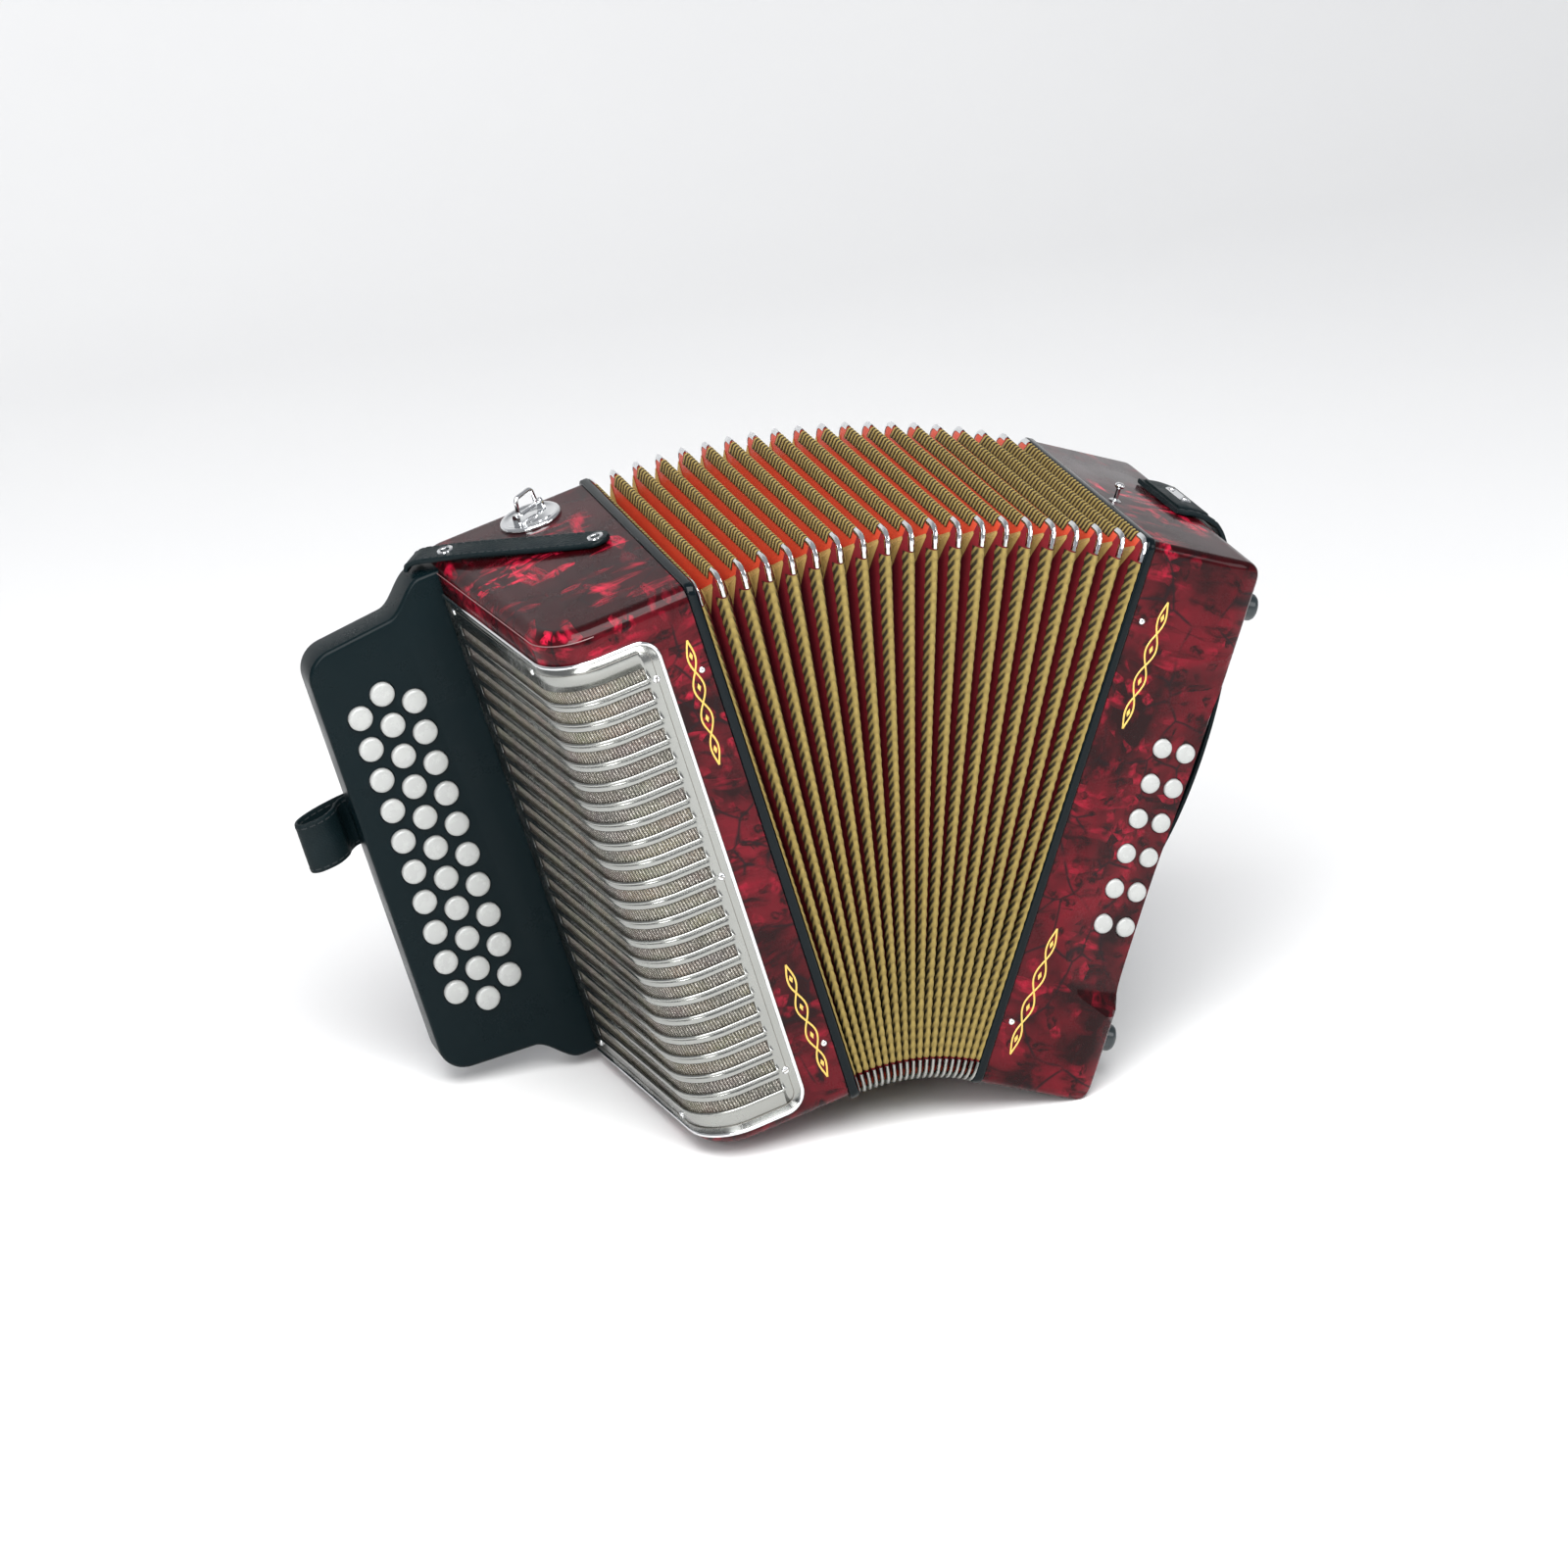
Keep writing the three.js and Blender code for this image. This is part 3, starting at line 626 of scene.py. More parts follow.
def glossy(name, colour, low, high, scale=40.0, uneven_surface=0.08, **sockets):
    """A lacquer, plate or plastic with handled gloss and a slight unevenness of colour."""
    material, tree, shader = finish_of(name, **sockets)
    uneven = noise(tree, place(tree), scale)
    tree.links.new(blended(tree, uneven, shade(colour, 0.82), colour), shader.inputs["Base Color"])
    roughness = use(tree, "smudges", {"Low": low, "High": high, "Scale": scale})[0]
    tree.links.new(roughness, shader.inputs["Roughness"])
    bump(tree, shader, noise(tree, place(tree), 260.0), 0.0002, uneven_surface)
    return material


def leather(name, colour, scale=1100.0):
    """A grained hide or thread of one colour, worn unevenly."""
    material, tree, shader = finish_of(name, Specular_IOR_Level=0.14)
    uneven = noise(tree, place(tree), 70.0)
    tree.links.new(blended(tree, uneven, shade(colour, 0.6), colour), shader.inputs["Base Color"])
    tree.links.new(use(tree, "smudges", {"Low": 0.36, "High": 0.6})[0], shader.inputs["Roughness"])
    bump(tree, shader, use(tree, "grain", {"Scale": scale})[0], 0.0004, 0.5)
    return material


def ribbed_tape(name, gold, dark, slant, groove_shade_share, plain):
    """Woven gold tape: ribs across it with dark dashes of painted shade between, off a plain strip on the
    peak.
    """
    material, tree, shader = finish_of(name, Specular_IOR_Level=0.3)
    parts = cloth_map(tree)
    across = maths(tree, "ABSOLUTE", parts[1])
    run = maths(tree, "MULTIPLY_ADD", across, slant, parts[0])
    shape = maths(tree, "SINE", maths(tree, "MULTIPLY", maths(tree, "FRACT", run), math.pi))
    twist = maths(tree, "MULTIPLY_ADD", across, 1.1, run)
    threads = maths(tree, "SINE", maths(tree, "MULTIPLY", twist, 25.0))
    mottled = noise(tree, place(tree), 420.0)
    body = blended(tree, mottled, shade(gold, 0.66), gold)
    body = blended(tree, maths(tree, "MULTIPLY_ADD", threads, 0.13, 0.13), body, dark)
    # Painted shade in the grooves between the ribs.
    line = ranged(tree, shape, groove_shade_share + 0.25, groove_shade_share - 0.05)
    off_peak = ranged(tree, across, plain, plain + 1.2)
    body = blended(tree, maths(tree, "MULTIPLY", line, off_peak), body, dark)
    tree.links.new(body, shader.inputs["Base Color"])
    tree.links.new(ramp(tree, mottled, [(0.3, 0.5), (0.7, 0.7)]), shader.inputs["Roughness"])
    bump(tree, shader, maths(tree, "MULTIPLY_ADD", threads, 0.15, shape), 0.0006, 0.7)
    return material


def pleated_card(name, colour, valley_shade):
    """Glazed bellows card, with painted shade darkening it towards the bottom of a valley."""
    material, tree, shader = finish_of(name, Specular_IOR_Level=0.25)
    # Painted shade in the valleys of the folds.
    sunk = ranged(tree, maths(tree, "ABSOLUTE", cloth_map(tree)[1]), 9.0, 15.0)
    mottled = noise(tree, place(tree), 60.0)
    body = blended(tree, mottled, shade(colour, 0.8), colour)
    tree.links.new(blended(tree, sunk, body, valley_shade), shader.inputs["Base Color"])
    tree.links.new(use(tree, "smudges", {"Low": 0.32, "High": 0.5})[0], shader.inputs["Roughness"])
    bump(tree, shader, use(tree, "grain", {"Scale": 2200.0})[0], 0.0002, 0.3)
    return material


def grille_cloth():
    """Beige and silver woven cloth with coloured glints, behind the grille; its bright specks are painted
    glints.
    """
    material, tree, shader = finish_of("grille_cloth", Specular_IOR_Level=0.3)
    over = use(tree, "weave", {"Pitch": 1.7, "Slant": 0.8})
    tint = noise(tree, place(tree), 55.0, 2.0, "Color")
    beiges = [(0.4, (0.19, 0.172, 0.145)), (0.62, (0.30, 0.27, 0.205))]
    warm = ramp(tree, noise(tree, place(tree), 24.0, 2.0), beiges)
    threads = blended(tree, 0.22, warm, tint, "OVERLAY")
    # Painted glints: near-white specks in the threads' colour.
    glints = noise(tree, place(tree), 1500.0, 1.0)
    painted_glints = ramp(tree, glints, [(0.53, 0.0), (0.64, 0.85)])
    threads = blended(tree, painted_glints, threads, (0.80, 0.76, 0.68))
    base = blended(tree, over["Over"], (0.014, 0.012, 0.012), threads)
    tree.links.new(base, shader.inputs["Base Color"])
    tree.links.new(ramp(tree, glints, [(0.3, 0.7), (0.7, 0.4)]), shader.inputs["Roughness"])
    bump(tree, shader, over["Height"], 0.0005, 0.8)
    return material


def wood_grain():
    """Pale wood with rings, for the reed blocks."""
    material, tree, shader = finish_of("reed_wood", Roughness=0.6)
    stretched = {"Vector": place(tree, (60, 60, 4)), "Scale": 1.0, "Distortion": 3.0}
    rings = node(tree, "TexWave", stretched).outputs["Fac"]
    browns = [(0.0, (0.50, 0.30, 0.14)), (1.0, (0.33, 0.18, 0.07))]
    tree.links.new(ramp(tree, rings, browns), shader.inputs["Base Color"])
    bump(tree, shader, rings, 0.0003, 0.3)
    return material


def finishes(colours):
    """Every material by the name of its finish."""
    white = (0.375, 0.382, 0.372)
    # Painted shade: the front tapes are the same tape as on top, made 0.8 times as bright.
    gold = shade(colours.tape, 0.8)
    return {
        "pearl": pearl_red(colours.pearl),
        "lacquer": glossy("black_lacquer", colours.lacquer, 0.24, 0.38, Specular_IOR_Level=0.09),
        "frame": glossy("frame_lacquer", (0.0015, 0.0045, 0.006), 0.1, 0.2, Specular_IOR_Level=0.16),
        "nickel": glossy("nickel", (0.35, 0.355, 0.335), 0.17, 0.3, uneven_surface=0.02, Metallic=1.0),
        "chrome": glossy("chrome", (0.78, 0.79, 0.80), 0.03, 0.1, uneven_surface=0.0, Metallic=1.0),
        # Painted shade for the grille's groove and the screws' slots.
        "groove_shade": glossy("groove_shade_metal", (0.20, 0.19, 0.17), 0.35, 0.5, Metallic=0.8),
        "white": glossy("pearl_white", white, 0.16, 0.34, 120.0, Coat_Weight=0.3, Coat_Roughness=0.1),
        "leather": leather("leather", colours.leather),
        "lining": leather("strap_lining", (0.030, 0.034, 0.034), 700.0),
        "thread": leather("strap_thread", (0.028, 0.034, 0.036), 3000.0),
        "tape_top": ribbed_tape("gold_tape_top", colours.tape, (0.024, 0.013, 0.003), 0.0, 0.66, -1.2),
        "tape_front": ribbed_tape("gold_tape_front", gold, (0.022, 0.015, 0.004), TAPE_SLANT, 0.66, 0.7),
        # The third colour of each card is its painted shade in the valleys.
        "card_top": pleated_card("card_orange", colours.card_top, (0.33, 0.030, 0.014)),
        "card_front": pleated_card("card_maroon", colours.card_front, (0.050, 0.005, 0.010)),
        "gusset": leather("gusset_leather", (0.42, 0.28, 0.095), 1600.0),
        "gold": glossy("gold_line", (0.66, 0.43, 0.09), 0.35, 0.5),
        "cover": glossy("cover_black", (0.008, 0.011, 0.012), 0.42, 0.6, Specular_IOR_Level=0.2),
        "foot": glossy("foot_black", (0.010, 0.020, 0.024), 0.25, 0.4, Coat_Weight=0.3),
        "cloth": grille_cloth(),
        "wood": wood_grain(),
        "seam": glossy("seam_line", (0.20, 0.10, 0.10), 0.3, 0.5),
    }


FINISH = {}


# ---------------------------------------------------------------- melody half
def side_x(y):
    """The X of the melody casing's slanting side at a depth."""
    return -(TREBLE_FRONT + (TREBLE_BACK - TREBLE_FRONT) * y / DEPTH)


def treble_plan(inset):
    """The melody casing's outline seen from above."""
    return rounded(
        [
            (0, inset),
            (0, DEPTH - inset),
            (side_x(DEPTH - inset) + inset, DEPTH - inset, BACK_CORNER - inset),
            (side_x(inset) + inset, inset, TREBLE_CORNER - inset),
        ],
        16,
    )


def edge_rounding(radius, steps=7):
    """(height, inset) pairs of a quarter round, from the end of the piece inwards."""
    angles = [math.pi / 2 * k / steps for k in range(steps + 1)]
    return [(radius * (1 - math.cos(a)), radius * (1 - math.sin(a))) for a in angles]


def treble_casing():
    """The pearl-covered casing, and the seam of its lid."""
    edge = edge_rounding(TREBLE_EDGE, 9)
    rings = []
    for height, inset in edge:
        rings.append([(x, y, height) for x, y in treble_plan(inset)])
    for height, inset in reversed(edge):
        rings.append([(x, y, HEIGHT - height) for x, y in treble_plan(inset)])
    casing = piece("treble_casing_pearl", *loft(rings), TREBLE, FINISH["pearl"], "treble")
    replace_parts(outward(casing), "treble_casing")
    path = CasingPath()
    line = [path.at(s, 0.02, LID_SEAM_Z) for s in np.linspace(30, path.length + 12, 60)]
    seam = piece("treble_lid_seam", *tube(line, 0.28, 6), TREBLE, FINISH["seam"], "treble")


class CasingPath:
    """The way round the melody casing's front and side, measured from the grille's front edge."""

    def __init__(self):
        end = DEPTH - BACK_CORNER
        corners = [(GRILLE_EDGE_X, 0), (side_x(0), 0, TREBLE_CORNER), (side_x(end), end)]
        outline = np.array(rounded(corners, 48))
        steps = np.linalg.norm(np.diff(outline, axis=0), axis=1)
        self.run = np.concatenate([[0], np.cumsum(steps)])
        self.outline = outline
        slopes = np.gradient(outline, self.run, axis=0)
        slopes /= np.linalg.norm(slopes, axis=1)[:, None]
        self.normals = np.stack([slopes[:, 1], -slopes[:, 0]], 1)
        if self.normals[0, 1] > 0:
            self.normals = -self.normals
        board = BOARD_FRONT - 1.5
        slant = math.hypot(1, (TREBLE_BACK - TREBLE_FRONT) / DEPTH)
        self.length = float(self.run[-1] - (end - board) * slant)
        self.slot_end = self.length - (board - SLOT_END_Y)

    def at(self, s, lift, z):
        """The place at a distance along the way, lifted off the casing."""
        spot = [np.interp(s, self.run, self.outline[:, k]) for k in (0, 1)]
        normal = [np.interp(s, self.run, self.normals[:, k]) for k in (0, 1)]
        return (spot[0] + normal[0] * lift, spot[1] + normal[1] * lift, z)


def grille_rows():
    """(height, lift, slot start) of every row of the pressed sheet, from the bottom up."""
    lip = [(-4.3, 0.0), (-4.05, 0.9), (-3.65, 1.45), (-3.15, 1.5), (-2.75, 1.15), (-2.5, 0.35)]
    shelf = [(4.1, 0.1), (4.6, 0.4), (5.6, 0.55), (6.8, 0.45)]
    rows = [(GRILLE_LOW, 0.0, False)]
    for k in range(SLOTS):
        middle_z = SLOT_FIRST_Z + k * SLOT_PITCH
        for i, (rise, lift) in enumerate(lip):
            rows.append((middle_z + rise, lift, i == len(lip) - 1))
        for rise, lift in shelf if k < SLOTS - 1 else shelf[:1]:
            rows.append((middle_z + rise, lift, False))
    rows.append((GRILLE_HIGH, 0.0, False))
    return rows


def flange_limits(s):
    """The grille's lowest and highest point at a distance from its front edge; its corners are round."""
    rise = 0.0
    if s < GRILLE_CORNER:
        rise = GRILLE_CORNER - math.sqrt(GRILLE_CORNER**2 - (GRILLE_CORNER - s) ** 2)
    return GRILLE_LOW + rise, GRILLE_HIGH - rise


def flange_line(path, inset, lift):
    """A line inside the grille's edge, all the way round but for the fingerboard's side."""
    radius = GRILLE_CORNER - inset
    high = GRILLE_HIGH - GRILLE_CORNER
    low = GRILLE_LOW + GRILLE_CORNER
    arc = [(radius * math.sin(a), radius * math.cos(a)) for a in (math.pi / 2 * k / 8 for k in range(9))]
    line = [(s, GRILLE_HIGH - inset) for s in np.linspace(path.length, GRILLE_CORNER, 70)]
    line += [(GRILLE_CORNER - u, high + v) for u, v in arc[1:]]
    line += [(GRILLE_CORNER - v, low - u) for u, v in arc]
    line += [(s, GRILLE_LOW + inset) for s in np.linspace(GRILLE_CORNER, path.length, 70)[1:]]
    return [path.at(s, lift, z) for s, z in line]


def grille_columns(path, start):
    """The sheet's columns along the way round, closer together at the slots' ends and the bend."""
    bend_start = GRILLE_EDGE_X - (side_x(0) + TREBLE_CORNER + 2)
    bend_end = bend_start + TREBLE_CORNER * math.pi / 2 + 6
    columns = [GRILLE_CORNER * (1 - math.sin(math.pi / 2 * k / 7)) for k in range(7, -1, -1)]
    columns += [start - 2.4, start - 1.6, start - 0.8, start, start + 0.8, start + 1.6]
    columns += list(np.linspace(GRILLE_CORNER + 2, bend_start, 4))
    columns += list(np.linspace(bend_start, bend_end, 30)[1:])
    columns += list(np.linspace(bend_end, path.slot_end - 3, 10)[1:])
    columns += [path.slot_end - 1, path.slot_end, path.slot_end + 1.2, path.slot_end + 2.4, path.length]
    return sorted(columns)


def melody_grille():
    """The pressed sheet with its slots, and what lies on it and behind it."""
    path = CasingPath()
    start = GRILLE_EDGE_X - SLOT_END_X
    columns = grille_columns(path, start)
    rows = grille_rows()
    points = []
    for z, lift, _ in rows:
        for s in columns:
            low, high = flange_limits(s)
            z_here = low if z < rows[1][0] else high if z > rows[-2][0] else z
            to_end = min(s - start, path.slot_end - s) + 2.4
            share = min(max(to_end / 3.6, 0), 1)
            points.append(path.at(s, GRILLE_LIFT + lift * share * share * (3 - 2 * share), z_here))

    def kept(r, c):
        middle_s = (columns[c] + columns[c + 1]) / 2
        return not (rows[r][2] and start < middle_s < path.slot_end)

    faces = grid_faces(len(rows), len(columns), keep=kept)
    grille = piece("pressed_grille", points, faces, TREBLE, FINISH["nickel"], "treble", smooth=70)
    sheet = grille.modifiers.new("sheet", "SOLIDIFY")
    sheet.thickness = 0.55 * MM
    sheet.offset = 0
    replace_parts(grille, "melody_grille")
    shape = tube(flange_line(path, 0.4, 1.0), 1.15, 10)
    rim = piece("grille_rim", *shape, TREBLE, FINISH["chrome"], "treble")
    # A dark tube of painted shade where the sheet's groove runs.
    line = flange_line(path, GROOVE_INSET, GRILLE_LIFT + 0.27)
    piece("grille_groove", *tube(line, 0.2, 6), TREBLE, FINISH["groove_shade"], "treble")
    cloth_columns = list(np.linspace(5, path.length - 2, 60))
    cloth_rows = list(np.linspace(GRILLE_LOW + CLOTH_MARGIN, GRILLE_HIGH - CLOTH_MARGIN, 3))
    cloth_uvs = [(s, z) for z in cloth_rows for s in cloth_columns]
    cloth_points = [path.at(s, CLOTH_LIFT, z) for s, z in cloth_uvs]
    faces = grid_faces(len(cloth_rows), len(cloth_columns))
    piece("grille_cloth", cloth_points, faces, TREBLE, FINISH["cloth"], "treble", uvs=cloth_uvs)
    spots = [(29.0 + GRILLE_EDGE_X, z) for z in (270.0, 151.6, 32.5)]
    corner_s = path.length - (BOARD_FRONT - 1.5 - 32.0)
    spots += [(path.slot_end + 3.5, 286.0), (path.slot_end + 3.5, 17.0)]
    spots += [(corner_s, 286.0), (corner_s, 15.0)]
    for i, (s, z) in enumerate(spots):
        foot = Vector(path.at(s, 1.3, z))
        normal = Vector(path.at(s, 2.3, z)) - foot
        screw(f"grille_screw_{i + 1}", foot, normal, 2.1, TREBLE, "treble", 0.6 + i)


def screw(name, foot, normal, radius, home, body, turn=0.4):
    """A domed screw head, with a dark tube of painted shade for the slot across it."""
    profile = [(0, 0), (radius, 0), (radius, 0.25), (radius * 0.8, 0.75), (radius * 0.4, 1.05), (0, 1.12)]
    head = turned(name, lathe(profile, foot, normal, 20), home, "chrome", body)
    normal = Vector(normal).normalized()
    side = Matrix.Rotation(turn, 3, normal) @ normal.orthogonal().normalized()
    ends = [Vector(foot) + normal * 0.95 + side * radius * k * 0.8 for k in (-1, 0, 1)]
    # The slot is a dark tube: painted shade.
    slot = piece(f"{name}_slot", *tube(ends, radius * 0.17, 6), home, FINISH["groove_shade"], body)


def board_outline(inset=0.0):
    """The fingerboard's outline in X and Z, with an S-curve to each shoulder."""
    inner, shoulder, outer = 149.5, 133.0, 128.5
    shoulder_in, shoulder_out, outer_x = -104.0, -128.0, -178.0
    half = [(-85.0, inner - inset)]
    steps = 14
    for k in range(steps + 1):
        share = (1 - math.cos(math.pi * k / steps)) / 2
        x = shoulder_in + (shoulder_out - shoulder_in) * k / steps
        half.append((x, inner + (shoulder - inner) * share - inset))
    half.append((outer_x + inset, outer - inset, 16.0 - inset))
    lower = [(x, -z, *rest) for x, z, *rest in reversed(half)]
    return [(x, z + BOARD_CENTRE_Z) for x, z in rounded(half + lower, 10)]


def fingerboard():
    """The black board that the melody buttons stand in."""
    rings = []
    for depth, inset in edge_rounding(2.6, 5):
        rings.append([(x, BOARD_FRONT + depth, z) for x, z in board_outline(inset)])
    for depth, inset in reversed(edge_rounding(4.5, 5)):
        rings.append([(x, BOARD_FRONT + BOARD_THICK - depth, z) for x, z in board_outline(inset)])
    board = outward(piece("fingerboard_lacquered", *loft(rings), TREBLE, FINISH["lacquer"], smooth=50))
    drill(board, wells(MELODY_BUTTONS, TREBLE, BOARD_FRONT - 1, 0.55, WELL_DEPTH_MELODY), TREBLE)
    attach(board, "treble")
    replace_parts(board, "fingerboard")


def round_button(node):
    """A pearl button with a soft edge and a slight crown, in place of its plain stub."""
    low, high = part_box(node)
    radius = (high.x - low.x) / 2 / MM
    length = (high.y - low.y) / MM
    front = Vector(((low.x + high.x) / 2, low.y, (low.z + high.z) / 2)) / MM
    crown = [(0, 0), (0.4, 0.04), (0.7, 0.16), (0.86, 0.4), (0.95, 0.85), (0.99, 1.4), (1, 2.0)]
    profile = [(radius * share, depth) for share, depth in crown] + [(radius, length), (0, length)]
    shape = lathe(profile, front, (0, 1, 0), 36)
    cap = turned(f"{node}_cap", shape, Matrix.Identity(4), "white", node, 60)
    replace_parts(cap, node)


def bellows_frame(name, node, left, home, body):
    """One black frame, with a rounded outer edge."""
    right = left + FRAME_THICK - SKIN_GAP
    edge = [(0, 1.1), (0.4, 0.35), (1.1, 0)]
    sections = [(left + x, inset) for x, inset in edge]
    sections += [(right - x, inset) for x, inset in reversed(edge)]
    rings = []
    for x, inset in sections:
        low = inset - FRAME_PROUD
        corners = [(low, low), (DEPTH - low, low), (DEPTH - low, HEIGHT - low), (low, HEIGHT - low)]
        rings.append([(x, y, z) for y, z in rounded([(*c, 6 - inset) for c in corners], 8)])
    hole = [(13, 13, 2), (DEPTH - 13, 13, 2), (DEPTH - 13, HEIGHT - 13, 2), (13, HEIGHT - 13, 2)]
    for x in (right, left):
        rings.append([(x, y, z) for y, z in rounded(hole, 8)])
    made = outward(piece(name, *loop_skin(rings), home, FINISH["frame"], body))
    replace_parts(made, node)


def closing_strap():
    """The strap over the lid, with its seams and eyelets."""
    rest = HEIGHT + SKIN_GAP + 1.3
    along = Vector((math.cos(CLOSING_STRAP_TURN), math.sin(CLOSING_STRAP_TURN), 0))
    across = Vector((-along.y, along.x, 0))
    start = Vector((-96.5, 170.5, 0))
    heights = [(-8.4, -3.4), (-7.4, -1.2), (-4.5, 0.3), (3, 1.4), (30, 1.8), (70, 0.8), (95, 0.3)]
    heights.append((112, 0.6))
    line = [start + along * u + Vector((0, 0, rest + z)) for u, z in heights]
    line = smooth_line(line, 46)
    shape = band(line, across, CLOSING_STRAP_WIDTH, 2.7, 0.3, rounded_end=True)
    strap = piece("closing_strap_leather", *shape, TREBLE, FINISH["leather"], "treble")
    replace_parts(outward(strap), "closing_strap")
    for side in (-1, 1):
        row = stitches(line[2:-5], -across, side * 6.8, -1.45)
        made = piece(f"closing_strap_seam_{side + 2}", *row, TREBLE, FINISH["thread"], "treble")
    for i, step in enumerate((23, 43)):
        ahead = Vector(line[step + 1]) - Vector(line[step - 1])
        normal = across.cross(-ahead).normalized()
        if normal.z < 0:
            normal = -normal
        eyelet(f"closing_strap_eyelet_{i + 1}", Vector(line[step]) + normal * 1.6, normal, 4.6)


def thumb_strap():
    """The loop of leather behind the fingerboard's edge, with its seams."""
    loop = [(-146, 188.6), (-168, 188.6), (-183, 187.6), (-197, 184), (-206, 179), (-208.3, 173.5)]
    loop += [(-204, 170), (-194, 171), (-187, 176), (-183, 182.2), (-175, 185.6), (-146, 185.9)]
    line = smooth_line([(x, y, THUMB_STRAP_Z) for x, y in loop], 60)
    up = (0, 0, 1)
    shape = band(line, up, THUMB_STRAP_WIDTH, 2.0)
    strap = piece("thumb_strap_leather", *shape, TREBLE, FINISH["leather"], "treble")
    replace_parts(outward(strap), "thumb_strap")
    for side in (-1, 1):
        for face in (-1, 1):
            row = stitches(line, up, side * 12.6, face * 0.95)
            name = f"thumb_strap_seam_{side + 2}_{face + 2}"
            piece(name, *row, TREBLE, FINISH["thread"], "treble")


def eyelet(name, foot, normal, radius):
    """A pressed ring on the closing strap, with a dark disc of painted shade in the hole through it."""
    shares = [(0.5, -0.6), (0.55, 0.35), (0.75, 0.75), (0.95, 0.45), (1, -0.1), (0.5, -0.6)]
    profile = [(radius * share, height) for share, height in shares]
    ring = turned(name, lathe(profile, foot, normal, 28), TREBLE, "chrome", "treble")
    # A dark disc in the hole: painted shade.
    profile = [(0, -0.4), (radius * 0.55, -0.4), (radius * 0.55, -0.25), (0, -0.25)]
    hole = turned(f"{name}_hole", lathe(profile, foot, normal, 20), TREBLE, "cover", "treble")


def strap_bracket():
    """The round dish on the lid with its two lugs, and the wire loop that swings between them."""
    centre = Vector((*BRACKET_CENTRE, HEIGHT + SKIN_GAP))
    profile = [(0, 0), (17, 0), (17, 0.9), (16.3, 1.9), (15.2, 2.1), (14.2, 1.7), (13.6, 1.1)]
    profile += [(9.5, 1.2), (8.6, 1.9), (0, 2.2)]
    shape = lathe(profile, centre, (0, 0, 1), 56)
    dish = turned("bracket_dish", shape, TREBLE, "chrome", "treble", 60)
    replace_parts(dish, "strap_bracket")
    bar = Vector((math.cos(RING_TURN), math.sin(RING_TURN), 0))
    across = Vector((-bar.y, bar.x, 0))
    for side in (-1, 1):
        rings = []
        for height, reach in ((1.0, 2.6), (3.0, 2.3), (5.4, 2.2), (6.8, 1.7), (7.4, 0.9)):
            foot = centre + bar * side * LUG_SPACING + Vector((0, 0, height))
            corners = ((-1, -1), (1, -1), (1, 1), (-1, 1))
            rings.append([foot + bar * u + across * v * reach for u, v in corners])
        lug = soften(turned(f"bracket_lug_{side + 2}", loft(rings), TREBLE, "chrome", "treble"))
    pivot = centre + Vector((0, 0, RING_PIVOT_RISE))
    half = 17 / 2 - 1.2
    corners = [(-half, 0, 2.2), (half, 0, 2.2), (half - 0.8, 9.6, 2.6), (-half + 0.8, 9.6, 2.6)]
    loop = [pivot + bar * u + Vector((0, 0, v)) for u, v in rounded(corners, 6)]
    wire = tube(loop, 1.25, 12, closed=True, lift=across)
    pin = tube([pivot - bar * 10.4, pivot, pivot + bar * 10.4], 0.8, 10)
    ring = turned("strap_loop", merge([wire, pin]), TREBLE, "chrome", "strap_ring", 60)
    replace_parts(ring, "strap_ring")


# ---------------------------------------------------------------- bass half
RECESS_SECTIONS = [
    # height, where the recess starts, depth at the outer edge
    (48, 63, 0.1),
    (53, 51, 6),
    (59.5, 37, 13),
    (69, 28, 15),
    (88, 20, 15.5),
    (128, 18, 15.5),
    (165, 18, 13),
    (205, 18, 10.5),
    (228, 21, 8.5),
    (243, 32, 5.5),
    (252, 47, 2.5),
    (258, 63, 0.1),
]


def recess_at(z):
    """Where the hand recess starts and how deep its outer edge lies, at a height."""
    table = np.array(smooth_line(RECESS_SECTIONS, 88))
    left = float(np.interp(z, table[:, 0], table[:, 1]))
    depth = float(np.interp(z, table[:, 0], table[:, 2], 0, 0))
    return left, max(depth, 0)


def bass_ring(z, front, side):
    """One level of the bass casing: front and side are how far the rounded ends draw in there."""
    left, depth = recess_at(z)
    outer = BASS_WIDTH - side
    radius = max(BASS_CORNER - side, 0.6)
    inner_end = min(left, outer - 2)
    columns = [inner_end * k / 6 for k in range(6)]
    columns += [inner_end + (outer - inner_end) * (1 - (1 - k / 16) ** 1.5) for k in range(17)]
    ring = []
    for x in columns:
        past = max(x - (outer - radius), 0)
        bend = front + radius - math.sqrt(max(radius**2 - past**2, 0))
        floor = depth * max(x - left, 0) / (BASS_WIDTH + 1 - left)
        ring.append((x, max(bend, floor), z))
    start = ring[-1][1]
    end = DEPTH - front - radius
    ring += [(outer, start + (end - start) * k / 5, z) for k in range(1, 6)]
    for k in range(1, 9):
        a = math.pi / 2 * k / 8
        ring.append((outer - radius + radius * math.cos(a), end + radius * math.sin(a), z))
    ring.append((0, DEPTH - front, z))
    return ring


def bass_levels():
    """(height, front inset, side inset) from bottom to top, with rounded ends."""
    levels = []
    for k in range(9):
        a = math.pi / 2 * k / 8
        z = BASS_CORNER * (1 - math.cos(a))
        side = BASS_CORNER * (1 - math.sin(a))
        depth = max(BASS_FRONT_EDGE - z, 0)
        levels.append((z, BASS_FRONT_EDGE - math.sqrt(BASS_FRONT_EDGE**2 - depth**2), side))
    heights = np.linspace(BASS_CORNER, HEIGHT - BASS_CORNER, 88)[1:-1]
    middle_levels = [(float(z), 0, 0) for z in heights]
    upper = [(HEIGHT - z, front, side) for z, front, side in reversed(levels)]
    return levels + middle_levels + upper


